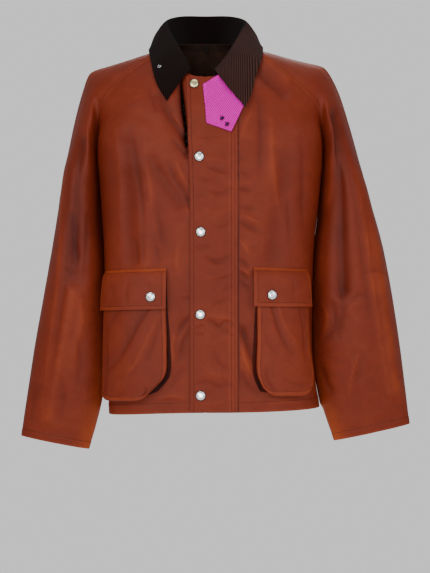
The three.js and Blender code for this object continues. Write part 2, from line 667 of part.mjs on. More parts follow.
// Height of the placket's top edge at x, just under the neckline edge of the fronts
function neckZ(x) {
  const edge = [...frontRight.points.slice(0, FRONT_COLUMNS).reverse()];
  edge.push(...frontLeft.points.slice(0, FRONT_COLUMNS));
  const after = edge.findIndex((p) => p.x > x);
  const [a, b] = [edge[after - 1], edge[after]];
  return lerp(a.z, b.z, (x - a.x) / (b.x - a.x)) - NECK_CLEARANCE;
}

// The throat tab
function tabSheet() {
  const { topNear, topFar, bottomNear, bottomFar, side } = TAB_CORNERS;
  const grid = Array.from({ length: TAB_POINTS }, (_, r) => {
    const down = r / (TAB_POINTS - 1);
    const near = blend(topNear, bottomNear, down);
    const far = down < 0.5 ? blend(topFar, side, down * 2) : blend(side, bottomFar, down * 2 - 1);
    return Array.from({ length: TAB_POINTS }, (_, c) => {
      const [x, z] = blend(near, far, c / (TAB_POINTS - 1));
      return overFront(x, z, TAB_STAND_OFF);
    });
  });
  return sheetOf(grid, true);
}

// A point of a pocket's outline
function outlineAt(points, share) {
  const curve = new THREE.CatmullRomCurve3(points.map(([run, z]) => vec([run, 0, z])));
  const p = curve.getPoint(share);
  return [p.x, p.z];
}

// A pocket bag: its face, and the gusset from the face's edge in to the panel
function pocketSheet(side) {
  const { near, bottom, far } = POCKETS[side];
  const [topNear, topFar, footNear, footFar] = [near[0], far[0], near.at(-1), far.at(-1)];
  const place = (across, down) => {
    const [l, r] = [outlineAt(near, down), outlineAt(far, down)];
    const [t, b] = [blend(topNear, topFar, across), outlineAt(bottom, across)];
    return [0, 1].map((k) => {
      const sides = lerp(l[k], r[k], across);
      const ends = lerp(t[k], b[k], down);
      const upper = lerp(topNear[k], topFar[k], across);
      const lower = lerp(footNear[k], footFar[k], across);
      return sides + ends - lerp(upper, lower, down);
    });
  };
  const face = Array.from({ length: POCKET_ROWS }, (_, r) => {
    const down = r / (POCKET_ROWS - 1);
    return Array.from({ length: POCKET_COLUMNS }, (_, c) => {
      const across = c / (POCKET_COLUMNS - 1);
      const [run, z] = place(across, down);
      const swell = POCKET_SWELL * Math.sin(Math.PI * across) * Math.sin(Math.PI * down);
      return alongFront(side, run, z, lerp(POCKET_MOUTH, POCKET_FOOT, down) + swell);
    });
  });
  const sheet = sheetOf(face, side === "left");
  const rim = [];
  for (let r = 0; r < POCKET_ROWS; r++) rim.push([r, 0]);
  for (let c = 1; c < POCKET_COLUMNS; c++) rim.push([POCKET_ROWS - 1, c]);
  for (let r = POCKET_ROWS - 2; r >= 0; r--) rim.push([r, POCKET_COLUMNS - 1]);
  const middle = place(0.5, 0.5);
  const ring = (share) => {
    return rim.map(([r, c]) => {
      const [across, down] = [c / (POCKET_COLUMNS - 1), r / (POCKET_ROWS - 1)];
      const [run, z] = place(across, down);
      const flared = 1 - clamp(across / GUSSET_TURN, 0, 1);
      const tuck = share * lerp(GUSSET_TUCK, -GUSSET_FLARE * Math.sqrt(down), flared);
      const inward = new THREE.Vector2(middle[0] - run, r ? middle[1] - z : 0).setLength(tuck);
      const out = lerp(lerp(POCKET_MOUTH, POCKET_FOOT, down), LAY_GAP + CLOTH / 2, share);
      return alongFront(side, run + inward.x, z + (r ? inward.y : 0), out);
    });
  };
  let previous = rim.map(([r, c]) => r * POCKET_COLUMNS + c);
  for (const share of [0.5, 1]) {
    const start = sheet.points.length;
    sheet.points.push(...ring(share));
    const next = rim.map((_, i) => start + i);
    for (let i = 0; i < rim.length - 1; i++) {
      for (const [a, b, c] of [
        [previous[i], previous[i + 1], next[i]],
        [previous[i + 1], next[i + 1], next[i]],
      ]) {
        sheet.triangles.push(side === "left" ? [a, c, b] : [a, b, c]);
      }
    }
    previous = next;
  }
  return sheet;
}

// A pocket flap
function flapSheet(side) {
  const { near, far, topNear, topFar, depth, farDepth } = POCKETS[side].flap;
  const grid = FLAP_HEIGHTS.map((down, r) => {
    return Array.from({ length: FLAP_COLUMNS }, (_, c) => {
      const share = c / (FLAP_COLUMNS - 1);
      const drop = (down / FLAP_HEIGHTS.at(-1)) * lerp(depth, farDepth, share);
      const z = lerp(topNear, topFar, share) - drop;
      return alongFront(side, lerp(near, far, share), z, FLAP_STAND_OFF[r]);
    });
  });
  return sheetOf(grid, side === "left");
}

// The strip inside the back neck, and the hanging loop
function insideBack(column, down, inset) {
  const { points, normals, columns } = back;
  const [a, b] = [column, column + columns];
  const share = down / points[a].distanceTo(points[b]);
  const normal = normals[a].clone().lerp(normals[b], share).normalize();
  return points[a].clone().lerp(points[b], share).addScaledVector(normal, -inset);
}

function neckStripSheet() {
  const { top, bottom, inset, ends } = NECK_STRIP;
  const grid = [top, (top + bottom) / 2, bottom].map((down) => {
    return Array.from({ length: back.columns - 2 * ends }, (_, c) => {
      return insideBack(c + ends, down, inset);
    });
  });
  return sheetOf(grid, false);
}

function loopSheet() {
  const middle = (back.columns - 1) / 2;
  const grid = LOOP_PATH.map(([down, inset]) => {
    const point = insideBack(middle, down, inset);
    return [-1, 1].map((end) => point.clone().setX(point.x + (end * LOOP.width) / 2));
  });
  return sheetOf(grid, false);
}

// The metal snap caps and the eyelet
function capGeometry({ radius, height, segments }) {
  const profile = CAP_PROFILE.map(([out, up]) => new THREE.Vector2(out * radius, up * height));
  return new THREE.LatheGeometry(profile, segments);
}

function addCap(name, size, seat, outward, metal) {
  const mesh = addPiece(name, capGeometry(size), metal);
  mesh.position.copy(seat).addScaledVector(outward, size.foot);
  mesh.quaternion.setFromUnitVectors(new THREE.Vector3(0, 1, 0), outward);
}

const jacket = new THREE.Group();
jacket.name = "jacket";

function addPiece(name, geometry, colour) {
  const mesh = new THREE.Mesh(geometry, new THREE.MeshStandardMaterial(COLOURS[colour]));
  mesh.name = name;
  jacket.add(mesh);
  return mesh;
}

function addSheet(name, sheet, thickness, colour) {
  addNormals([sheet]);
  return addPiece(name, wallOf(sheet, thickness), colour);
}

const collar = collarSheet();
addNormals([collar]);
const placket = placketSheet();
const tab = tabSheet();
const strip = neckStripSheet();
const loop = loopSheet();
for (const [name, { sheet, sewn }] of Object.entries(panels)) {
  openSeams(sheet, sewn);
  addPiece(name, wallOf(sheet, CLOTH), "waxed");
}
addSheet("collar", collar, CORD, "corduroy");
addSheet("placket", placket, CLOTH, "waxed");
addSheet("throat_tab", tab, CORD, "throat");
addSheet("neck_strip", strip, NECK_STRIP.wall, "lining");
addSheet("hanger_loop", loop, LOOP.wall, "corduroy");
for (const side of ["right", "left"]) {
  addSheet(`pocket_${side}`, pocketSheet(side), CLOTH, "waxed");
  addSheet(`pocket_flap_${side}`, flapSheet(side), CLOTH, "waxed");
  const { run, z } = POCKETS[side].snap;
  const [seat, above] = [0, 1].map((out) => alongFront(side, run, z, FLAP_SNAP_OUT + out));
  addCap(`flap_snap_${side}`, SNAP, seat, above.sub(seat).normalize(), "steel");
}
SNAPS.forEach(({ x, z, metal }, i) => {
  const seat = overFront(x, z, placketOut(x));
  addCap(`placket_snap_${i + 1}`, SNAP, seat, frontAt(x, z).normal, metal);
});
const eyeletSeat = facingPoint([collar], EYELET.x, EYELET.z);
addCap("collar_eyelet", EYELET, eyeletSeat.point, eyeletSeat.normal, "steel");

export default jacket;
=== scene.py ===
"""A waxed cotton jacket: cloth, corduroy, metal and sewing, over the solids of the frame.

The garment's sizes are in millimetres, and MM turns them into the scene's metres. +X is the
wearer's left, -Y the front and +Z up. The origin is midway between the shoulders at the height of
the neck side.
"""

import bpy
import numpy as np
from mathutils import Matrix, Vector, noise
from mathutils.bvhtree import BVHTree


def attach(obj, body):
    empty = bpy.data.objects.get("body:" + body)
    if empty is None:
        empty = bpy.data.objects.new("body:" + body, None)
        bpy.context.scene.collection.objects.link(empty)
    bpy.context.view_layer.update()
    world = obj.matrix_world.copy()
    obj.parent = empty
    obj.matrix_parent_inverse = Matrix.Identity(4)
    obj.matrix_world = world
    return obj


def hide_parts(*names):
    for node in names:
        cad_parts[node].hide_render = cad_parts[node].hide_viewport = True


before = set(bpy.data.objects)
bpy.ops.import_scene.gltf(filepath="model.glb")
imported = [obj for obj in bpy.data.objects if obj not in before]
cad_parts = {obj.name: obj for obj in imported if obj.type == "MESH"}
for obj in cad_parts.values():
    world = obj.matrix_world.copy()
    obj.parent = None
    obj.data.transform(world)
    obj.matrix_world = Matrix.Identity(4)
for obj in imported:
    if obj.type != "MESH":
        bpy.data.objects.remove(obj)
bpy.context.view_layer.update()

MM = 0.001
CLOTH = 1.6  # waxed cotton wall
CORD = 2.6  # corduroy, doubled
LAY_GAP = 0.9  # between a piece and the panel that it lies on
CENTRE_FRONT = -12  # x of the line where the fronts meet
CENTRE_BACK = -10  # x of the middle of the back
FRONT_EDGE_GAP = 3  # between the two fronts, under the placket

FRONT_COLUMNS = 88
BACK_COLUMNS = 116
SLEEVE_COLUMNS = 48  # in each half of a sleeve
RAGLAN_ROWS = 64
BODY_ROWS = 164
SLEEVE_ROWS = 156
RING_STEPS = 240  # fine steps along a rounded arc before it is spaced evenly

# Raglan rows from the neck to just above the underarm. front and back are the raglan seams, ridge
# is the shoulder and overarm line, forward and up are how far the cloth between stands off.
RAGLAN = dict(
    right=[
        dict(front=[-79, -30, -20], ridge=[-84, 12, -3], back=[-73, 50, 12], forward=1, up=1),
        dict(front=[-127, -43, -39], ridge=[-130, 11, -15], back=[-118, 60, -16], forward=5, up=4),
        dict(front=[-165, -62, -68], ridge=[-175, 10, -29], back=[-158, 68, -52], forward=8, up=6),
        dict(front=[-196, -74, -100], ridge=[-215, 9, -41], back=[-190, 73, -92], forward=10, up=8),
        dict(front=[-213, -74, -122], ridge=[-240, 8, -49], back=[-207, 72, -118], forward=12, up=8),
        dict(front=[-224, -62, -142], ridge=[-251, 8, -57], back=[-219, 62, -142], forward=22, up=2),
        dict(front=[-227, -45, -178], ridge=[-265, 6, -95], back=[-223, 50, -180], forward=44, up=0),
        dict(front=[-227, -20, -232], ridge=[-283, 4, -165], back=[-224, 32, -235], forward=72, up=0),
    ],
    left=[
        dict(front=[55, -30, -20], ridge=[60, 12, -2], back=[49, 50, 12], forward=1, up=1),
        dict(front=[104, -43, -33], ridge=[112, 11, -11], back=[98, 60, -14], forward=5, up=4),
        dict(front=[147, -62, -68], ridge=[158, 10, -23], back=[140, 68, -50], forward=8, up=6),
        dict(front=[179, -74, -98], ridge=[199, 9, -33], back=[173, 73, -90], forward=10, up=8),
        dict(front=[200, -74, -118], ridge=[224, 8, -39], back=[192, 72, -115], forward=12, up=8),
        dict(front=[216, -62, -138], ridge=[236, 8, -46], back=[210, 62, -140], forward=22, up=2),
        dict(front=[222, -45, -176], ridge=[259, 6, -86], back=[217, 50, -178], forward=44, up=0),
        dict(front=[223, -20, -231], ridge=[286, 4, -168], back=[220, 32, -234], forward=72, up=0),
    ],
)
# The fronts above the underarm, row by row with the raglan seam: y and z at the centre front, then
# points between it and the seam as share of the way, y and z. The first row is the neckline.
CHEST = [
    dict(centre=[-103, -79], between=[[0.38, -98, -73], [0.75, -74, -53], [0.93, -46, -33]]),
    dict(centre=[-110, -103], between=[[0.43, -102, -90], [0.76, -77, -62]]),
    dict(centre=[-117, -133], between=[[0.42, -112, -117], [0.76, -92, -90]]),
    dict(centre=[-121, -162], between=[[0.42, -118, -149], [0.76, -101, -121]]),
    dict(centre=[-123, -185], between=[[0.42, -120, -173], [0.76, -105, -146]]),
    dict(centre=[-125, -205], between=[[0.42, -123, -195], [0.78, -108, -168]]),
    dict(centre=[-126, -230], between=[[0.42, -125, -223], [0.8, -108, -200], [0.97, -76, -184]]),
    dict(centre=[-127, -260], between=[[0.42, -126, -256], [0.82, -108, -245], [1.0, -56, -234]]),
]
# The back above the underarm in the same way.
BLADES = [
    dict(centre=[88, 19], between=[[0.4, 84, 18.5], [0.75, 70, 15.5]]),
    dict(centre=[98, -10], between=[[0.5, 89, -11]]),
    dict(centre=[107, -42], between=[[0.5, 99, -44]]),
    dict(centre=[113, -76], between=[[0.5, 107, -80]]),
    dict(centre=[117, -104], between=[[0.5, 110, -108], [0.8, 97, -112]]),
    dict(centre=[119, -130], between=[[0.5, 113, -133], [0.82, 98, -138]]),
    dict(centre=[121, -172], between=[[0.5, 116, -174], [0.85, 96, -178], [0.98, 76, -180]]),
    dict(centre=[122, -230], between=[[0.5, 117, -231], [0.85, 95, -234], [1.0, 62, -235]]),
]
# Level rings of the body from the underarm to the hem. square is the exponent of the outline, 2
# for an ellipse and more for a boxier one. rise lifts the right and the left side of the hem.
BODY = [
    dict(z=-290, centre=-2, half=225, y=5, front=133, back=118, square=3.2, rise=(0, 0)),
    dict(z=-415, centre=-4.5, half=213.5, y=5, front=134, back=117, square=3.6, rise=(0, 0)),
    dict(z=-540, centre=-4.5, half=209.5, y=5, front=134, back=117, square=4.0, rise=(-1, 1)),
    dict(z=-640, centre=-3, half=209, y=5, front=134, back=118, square=4.2, rise=(-3, 4)),
    dict(z=-741, centre=6.5, half=212.5, y=5, front=134, back=120, square=4.4, rise=(-7, 7)),
]
# Rings of each sleeve from the underarm to the cuff: x and z of the outer edge and of the
# underarm seam, the ring's middle in y and half its depth. The first inner end is the underarm.
SLEEVE = dict(
    right=[
        dict(outer=[-301, -262], inner=None, y=4, depth=90, square=2.1),
        dict(outer=[-312, -336], inner=[-226, -352], y=2, depth=88, square=2.2),
        dict(outer=[-323, -405], inner=[-219, -420], y=-2, depth=82, square=2.2),
        dict(outer=[-334, -469], inner=[-217, -482], y=-6, depth=74, square=2.2),
        dict(outer=[-347, -543], inner=[-215.1, -553], y=-10, depth=66, square=2.2),
        dict(outer=[-359, -612], inner=[-213.4, -623], y=-15, depth=56, square=2.2),
        dict(outer=[-372, -700], inner=[-220, -713], y=-20, depth=42, square=2.2),
        dict(outer=[-380, -755], inner=[-234, -775], y=-24, depth=31, square=2.2),
        dict(outer=[-385, -795], inner=[-248, -822], y=-27, depth=22, square=2.2),
    ],
    left=[
        dict(outer=[313, -272], inner=None, y=4, depth=90, square=2.1),
        dict(outer=[331, -338], inner=[220.5, -350], y=2, depth=88, square=2.2),
        dict(outer=[350, -408], inner=[210.4, -420], y=-2, depth=82, square=2.2),
        dict(outer=[363, -473], inner=[207.8, -484], y=-6, depth=74, square=2.2),
        dict(outer=[375, -545], inner=[206.4, -552], y=-10, depth=66, square=2.2),
        dict(outer=[385, -615], inner=[206.9, -620], y=-15, depth=56, square=2.2),
        dict(outer=[394, -690], inner=[216.4, -700], y=-20, depth=42, square=2.2),
        dict(outer=[399, -735], inner=[234, -760], y=-24, depth=31, square=2.2),
        dict(outer=[403, -771], inner=[250, -805], y=-27, depth=22, square=2.2),
    ],
)
# How a sleeve's rows bulge between the raglan seam and the ridge: at that share of the way, by that
# share of the row's forward.
CAP_BULGE = [dict(at=0.33, forward=1), dict(at=0.7, forward=0.8)]
# The largest folds, as lines seen from the front (facing -1) or the back, with how wide each
# reaches and how far it raises the cloth. A negative height is a trough.
FOLDS = [
    dict(facing=-1, start=[-264, -205], end=[-273, -480], width=15, height=-9),
    dict(facing=-1, start=[-268, -456], end=[-330, -760], width=13, height=4),
    dict(facing=-1, start=[251, -150], end=[262, -500], width=15, height=-10),
    dict(facing=-1, start=[306, -230], end=[372, -700], width=13, height=4),
    dict(facing=-1, start=[-104, -116], end=[-51, -204], width=12, height=-4),
    dict(facing=-1, start=[-120, -244], end=[-60, -330], width=13, height=-4),
    dict(facing=-1, start=[-172, -215], end=[-158, -440], width=16, height=-4),
    dict(facing=-1, start=[-135, -300], end=[-130, -450], width=14, height=3),
    dict(facing=-1, start=[98, -22], end=[154, -76], width=10, height=4),
    dict(facing=-1, start=[84, -52], end=[144, -108], width=11, height=-5),
    dict(facing=-1, start=[150, -240], end=[120, -440], width=18, height=-4),
    dict(facing=1, start=[-170, -150], end=[-120, -420], width=18, height=-5),
    dict(facing=1, start=[150, -150], end=[110, -430], width=18, height=-5),
    dict(facing=1, start=[-20, -300], end=[-30, -640], width=20, height=4),
    dict(facing=1, start=[-262, -230], end=[-275, -500], width=15, height=-7),
    dict(facing=1, start=[256, -210], end=[280, -520], width=15, height=-2),
]
# A fold fades in where the cloth turns its way, as the size of its normal along Y grows.
FOLD_FACING = dict(none=0.1, full=0.6)
# The collar from its right front end (at 0) round the back to its left front end (at 1). fold is
# the line it turns over on, drape and edge are the middle and the edge of the fall. Where lift is
# given, y is measured from the front panels, that far in front of them.
COLLAR = [
    dict(at=0, fold=[-40, -98, -61], drape=[-62, 7, -92], edge=[-86, 5, -127], lift=True),
    dict(at=0.06, fold=[-45, -87, -48], drape=[-72, 8, -80], edge=[-99, 5, -107], lift=True),
    dict(at=0.12, fold=[-53, -68, -31], drape=[-83, 10, -58], edge=[-110, 5, -85], lift=True),
    dict(at=0.2, fold=[-68, -36, -1], drape=[-100, -46, -16], edge=[-121, -52, -40]),
    dict(at=0.28, fold=[-84, -4, 30], drape=[-112, -5, 14], edge=[-128, -3, -8]),
    dict(at=0.36, fold=[-92, 28, 56], drape=[-114, 38, 32], edge=[-124, 50, -6]),
    dict(at=0.43, fold=[-66, 63, 72], drape=[-78, 86, 44], edge=[-86, 99, -4]),
    dict(at=0.5, fold=[-12, 82, 76], drape=[-12, 104, 44], edge=[-12, 112, 0]),
    dict(at=0.57, fold=[42, 63, 72], drape=[54, 86, 44], edge=[62, 99, -4]),
    dict(at=0.64, fold=[70, 28, 56], drape=[92, 38, 32], edge=[102, 50, -4]),
    dict(at=0.72, fold=[60, -4, 30], drape=[88, -5, 15], edge=[106, -6, -3]),
    dict(at=0.8, fold=[45, -36, -1], drape=[79, -48, -15], edge=[103, -58, -34]),
    dict(at=0.88, fold=[29, -68, -31], drape=[64, 14, -60], edge=[86, 8, -86], lift=True),
    dict(at=0.94, fold=[16, -88, -49], drape=[49, 17, -89], edge=[78, 12, -119], lift=True),
    dict(at=1, fold=[6, -102, -62], drape=[30, 16, -102], edge=[66, 13, -142], lift=True),
]
# The placket from its free edge, over the right front, to its seam on the left front. It stands
# off by stand_off at the free edge and settles to seam_gap between those shares of its width. The
# free edge starts further out at the neck and comes in to its own line by the height even_from.
PLACKET = dict(free=-40, seam=52, top=-79, bottom=-740, stand_off=3.6, seam_gap=1.2)
PLACKET_NECK = dict(free=-48, even_from=-320)
PLACKET_SETTLES = dict(start=0.3, end=0.9)
# Press snap caps and the eyelet. A foot is how far they sit off the cloth, and less than 0 sinks
# them in.
SNAP = dict(radius=9.8, height=3.2, foot_on_placket=0.1, foot_on_flap=-0.2)
SNAPS = [
    dict(x=-33, z=-94, metal="brass"),
    dict(x=-23, z=-238, metal="steel"),
    dict(x=-20, z=-386, metal="steel"),
    dict(x=-21, z=-548, metal="steel"),
    dict(x=-20, z=-707, metal="steel"),
]
EYELET = dict(radius=3.6, ring=0.6, foot=0.7, x=-103, z=-54)
# Corners of the throat tab as seen from the front, near and far from the placket's free edge.
TAB_CORNERS = dict(
    top_near=[-15, -96],
    top_far=[15, -76],
    bottom_near=[-9, -172],
    bottom_far=[40, -190],
    side=[66, -134],
)
# Pockets and flaps, laid out on the front: the way along the cloth from the centre front, and z.
# Each outline goes from its top near the centre front round by the bottom.
POCKETS = dict(
    right=dict(
        near=[[74, -472], [74, -540], [72, -615], [75, -665], [96, -690]],
        bottom=[[96, -690], [121, -712], [150, -714], [190, -711], [201, -704]],
        far=[[208, -474], [208, -545], [207, -640], [205, -685], [201, -704]],
        flap=dict(near=74, far=208, top_near=-457, top_far=-462, depth=80, far_depth=78),
        snap=dict(run=103, z=-513),
    ),
    left=dict(
        near=[[100, -468], [100, -532], [100, -600], [100, -664], [111, -692]],
        bottom=[[111, -692], [129, -708], [157, -711], [193, -711], [202, -700]],
        far=[[205, -470], [205, -544], [205, -614], [209, -674], [202, -700]],
        flap=dict(near=94, far=206, top_near=-455, top_far=-460, depth=77, far_depth=74),
        snap=dict(run=128, z=-510),
    ),
)
FLAP_HEIGHTS = [0, 8, 18, 34, 52, 68, 80]  # down the flap, for a flap 80 deep
FLAP_STAND_OFF = [2.8, 9.3, 12, 13.8, 15.4, 16.4, 17.2]
# The strip inside the back neck, and the hanging loop on it: how far down the back and how far
# in from its outer side. ends is the share of the back's neckline left bare at each end.
NECK_STRIP = dict(wall=1, top=1.5, bottom=15, inset=CLOTH + 0.5, ends=3 / 22)
LOOP = dict(wall=1.2, width=6)
LOOP_PATH = [[2, 3.7], [9, 4], [16, 4.4], [18.4, 5.9], [16, 7.4], [9, 7.6], [3, 7.6]]

# Creases, given as lines of x and z seen from the front or the back. width is how far each
# reaches to either side, and height how far it raises the cloth. A negative height is a trough.
RIGHT_FRONT_CREASES = [
    dict(line=[(-105, -100), (-87, -148), (-60, -190), (-43, -220)], width=6, height=-1.6),
    dict(line=[(-81, -148), (-57, -181), (-42, -205)], width=8, height=2.2),
    dict(line=[(-78, -200), (-60, -220), (-41, -244)], width=7, height=-2.6),
    dict(line=[(-90, -241), (-69, -286), (-41, -328)], width=7, height=-2.2),
    dict(line=[(-69, -241), (-57, -274), (-41, -304)], width=7, height=2.0),
    dict(line=[(-54, -313), (-45, -328), (-39, -341)], width=5, height=-2.4),
    dict(line=[(-53, -334), (-45, -344), (-38, -352)], width=5, height=1.6),
    dict(line=[(-162, -169), (-144, -277), (-134, -367), (-138, -439)], width=15, height=-2.6),
    dict(line=[(-132, -211), (-117, -307), (-104, -382)], width=14, height=2.0),
    dict(line=[(-117, -313), (-102, -373), (-92, -427)], width=12, height=-2.4),
    dict(line=[(-125, -97), (-114, -124), (-105, -151)], width=8, height=-1.8),
    dict(line=[(-189, -175), (-180, -277), (-180, -373)], width=14, height=1.6),
    dict(line=[(-147, -397), (-143, -451)], width=6, height=-1.4),
    dict(line=[(-134, -403), (-133, -454)], width=5, height=-1.2),
    dict(line=[(-111, -388), (-101, -451)], width=7, height=-1.5),
    dict(line=[(-65, -403), (-69, -475)], width=9, height=1.3),
    dict(line=[(-38, -549), (-54, -568), (-66, -592)], width=7, height=-3.0),
    dict(line=[(-41, -568), (-54, -604), (-65, -646)], width=8, height=-2.4),
    dict(line=[(-69, -574), (-75, -610), (-73, -652)], width=7, height=1.8),
    dict(line=[(-38, -511), (-51, -517), (-60, -514)], width=5, height=-1.2),
    dict(line=[(-51, -652), (-69, -676), (-81, -700)], width=8, height=-1.5),
    dict(line=[(-117, -718), (-81, -709), (-45, -715)], width=8, height=1.2),
]
LEFT_FRONT_CREASES = [
    dict(line=[(51, -302), (66, -302), (81, -305)], width=5, height=-2.0),
    dict(line=[(53, -289), (66, -289), (81, -293)], width=5, height=1.2),
    dict(line=[(53, -335), (69, -338), (89, -339)], width=5, height=-2.0),
    dict(line=[(54, -366), (75, -377), (96, -387)], width=7, height=-2.4),
    dict(line=[(54, -352), (75, -358), (99, -367)], width=7, height=1.3),
    dict(line=[(54, -400), (66, -415), (78, -436)], width=6, height=1.5),
    dict(line=[(53, -460), (66, -472), (75, -484)], width=6, height=-2.4),
    dict(line=[(53, -266), (69, -274), (84, -278)], width=5, height=-1.1),
    dict(line=[(51, -232), (63, -241), (78, -244)], width=5, height=-1.0),
    dict(line=[(93, -109), (97, -199), (93, -283)], width=14, height=-2.4),
    dict(line=[(117, -127), (123, -259), (140, -373)], width=16, height=2.0),
    dict(line=[(150, -313), (155, -418)], width=10, height=-1.6),
    dict(line=[(182, -193), (183, -385)], width=14, height=-1.8),
    dict(line=[(81, -139), (66, -175), (57, -205)], width=9, height=1.8),
    dict(line=[(53, -438), (65, -445), (75, -457)], width=6, height=-2.4),
    dict(line=[(54, -453), (69, -465), (81, -472)], width=6, height=1.4),
    dict(line=[(56, -478), (68, -490), (78, -502)], width=6, height=-2.2),
    dict(line=[(60, -568), (72, -610), (86, -646)], width=8, height=-3.4),
    dict(line=[(59, -603), (69, -640), (81, -667)], width=8, height=2.2),
    dict(line=[(53, -562), (60, -580), (65, -601)], width=6, height=-2.2),
    dict(line=[(56, -652), (72, -685), (99, -709)], width=9, height=-1.8),
    dict(line=[(108, -724), (141, -718), (177, -721)], width=8, height=1.2),
]
PLACKET_CREASES = [
    dict(line=[(-30, -197), (-3, -200), (24, -193)], width=5, height=-1.0),
    dict(line=[(-12, -257), (15, -266), (41, -272)], width=5, height=-1.7),
    dict(line=[(-30, -275), (-9, -284), (15, -281)], width=5, height=-1.2),
    dict(line=[(-15, -241), (12, -244), (39, -256)], width=6, height=0.9),
    dict(line=[(-9, -301), (18, -311), (42, -298)], width=5, height=-1.7),
    dict(line=[(-36, -320), (-18, -314), (-3, -316)], width=5, height=-1.1),
    dict(line=[(-21, -335), (12, -348), (42, -337)], width=7, height=1.0),
    dict(line=[(6, -378), (24, -375), (42, -364)], width=5, height=-1.3),
    dict(line=[(-33, -416), (-18, -413), (0, -417)], width=5, height=-1.0),
    dict(line=[(-15, -435), (12, -447), (42, -433)], width=6, height=-1.3),
    dict(line=[(-27, -466), (0, -475), (33, -469)], width=7, height=0.9),
    dict(line=[(21, -504), (33, -499), (45, -493)], width=5, height=-1.0),
    dict(line=[(-33, -416), (-15, -419), (3, -415)], width=5, height=-0.9),
    dict(line=[(-12, -435), (18, -446), (44, -427)], width=5, height=-1.5),
    dict(line=[(9, -483), (27, -475), (45, -469)], width=5, height=-1.1),
    dict(line=[(0, -531), (18, -526), (39, -517)], width=5, height=-1.3),
    dict(line=[(-13, -559), (3, -562), (17, -571), (30, -562), (47, -571)], width=5, height=-2.4),
    dict(line=[(-13, -550), (9, -553), (45, -559)], width=6, height=1.1),
    dict(line=[(-33, -575), (-23, -572), (-9, -568)], width=4, height=-1.5),
    dict(line=[(-35, -591), (-24, -588), (-12, -589)], width=4, height=-1.4),
    dict(line=[(15, -576), (30, -579), (47, -589)], width=5, height=-1.3),
    dict(line=[(3, -619), (15, -643), (38, -660)], width=6, height=-1.3),
    dict(line=[(-15, -652), (3, -663), (33, -670)], width=8, height=0.9),
    dict(line=[(-33, -686), (-3, -682), (18, -691), (42, -686)], width=5, height=-1.6),
    dict(line=[(-30, -718), (-9, -724), (33, -718)], width=7, height=0.8),
]

SIDES = ("right", "left")


def side_sign(side):
    return -1 if side == "right" else 1


def ease(value, low, high):
    """0 below low, 1 above high, smooth between."""
    share = np.clip((np.asarray(value, float) - low) / (high - low), 0, 1)
    return share * share * (3 - 2 * share)


def mix(a, b, share):
    return a + (b - a) * share


def signed_power(base, power):
    return np.sign(base) * np.abs(base) ** power


def smooth_curve(points, stops):
    """A smooth curve through points, at stops that count the points from 0."""
    points = np.asarray(points, float)
    stops = np.asarray(stops, float)
    padded = np.concatenate(
        [2 * points[:1] - points[1:2], points, 2 * points[-1:] - points[-2:-1]]
    )
    step = np.clip(np.floor(stops).astype(int), 0, len(points) - 2)
    share = (stops - step).reshape((-1,) + (1,) * (points.ndim - 1))
    p0, p1, p2, p3 = (padded[step + k] for k in range(4))

    def knot(a, b):
        return np.maximum(np.sqrt(np.linalg.norm(b - a, axis=-1, keepdims=True)), 1e-3)

    d0, d1, d2 = knot(p0, p1), knot(p1, p2), knot(p2, p3)
    t1 = ((p1 - p0) / d0 - (p2 - p0) / (d0 + d1) + (p2 - p1) / d1) * d1
    t2 = ((p2 - p1) / d1 - (p3 - p1) / (d1 + d2) + (p3 - p2) / d2) * d1
    square = 3 * (p2 - p1) - 2 * t1 - t2
    cube = 2 * (p1 - p2) + t1 + t2
    return p1 + share * (t1 + share * (square + share * cube))


def respace(points, count):
    """A polyline as evenly placed points."""
    points = np.asarray(points, float)
    run = np.concatenate([[0], np.cumsum(np.linalg.norm(np.diff(points, axis=0), axis=1))])
    reach = np.linspace(0, run[-1], count)
    return np.stack([np.interp(reach, run, points[:, k]) for k in range(points.shape[1])], 1)


def along_line(reach, run, line):
    """The point of a line at a reach along it, where run is the reach of each of its points."""
    return np.array([np.interp(reach, run, line[:, k]) for k in range(3)])


def curve_through(points, count):
    return respace(smooth_curve(points, np.linspace(0, len(points) - 1, 201)), count)


# The panels of the body and sleeves


def ring_arc(centre, across, deep, square, start, end, count):
    """An arc of a rounded ring: angle 0 lies along across and a quarter turn along deep."""
    angle = np.linspace(start, end, RING_STEPS + 1)[:, None]
    out = signed_power(np.cos(angle), 2 / square) * np.asarray(across, float)
    out = out + signed_power(np.sin(angle), 2 / square) * np.asarray(deep, float)
    return respace(np.asarray(centre, float) + out, count)


def rise_of(ring, side):
    return ring["rise"][SIDES.index(side)]


def side_point(ring, side):
    """The body ring's own point on the side seam."""
    return [
        ring["centre"] + side_sign(side) * ring["half"],
        ring["y"],
        ring["z"] + rise_of(ring, side),
    ]


def body_arc(ring, side, facing, x, count):
    """A level stretch of the body from the centre line at x to the side seam."""
    share = side_sign(side) * (x - ring["centre"]) / ring["half"]
    start = np.arccos(signed_power(share, ring["square"] / 2))
    depth = ring["front"] if facing < 0 else ring["back"]
    arc = ring_arc(
        [ring["centre"], ring["y"], ring["z"]],
        [side_sign(side) * ring["half"], 0, 0],
        [0, facing * depth, 0],
        ring["square"],
        start,
        0,
        count,
    )
    arc[:, 2] += rise_of(ring, side) * ((arc[:, 0] - ring["centre"]) / ring["half"]) ** 2
    return arc


def upper_row(row, seam, x, count):
    """A row of the upper body from its centre line to the raglan seam."""
    points = [[x, *row["centre"]]]
    points += [[mix(x, seam[0], share), y, z] for share, y, z in row["between"]]
    return curve_through(points + [seam], count)


def cap_row(seam, ridge, facing, row, count):
    """Half of a sleeve's row above the underarm, from the raglan seam to the ridge."""
    seam, ridge = np.array(seam, float), np.array(ridge, float)
    between = [
        mix(seam, ridge, bulge["at"])
        + np.array([0, facing * row["forward"] * bulge["forward"], row["up"]])
        for bulge in CAP_BULGE
    ]
    return curve_through([seam, *between, ridge], count)


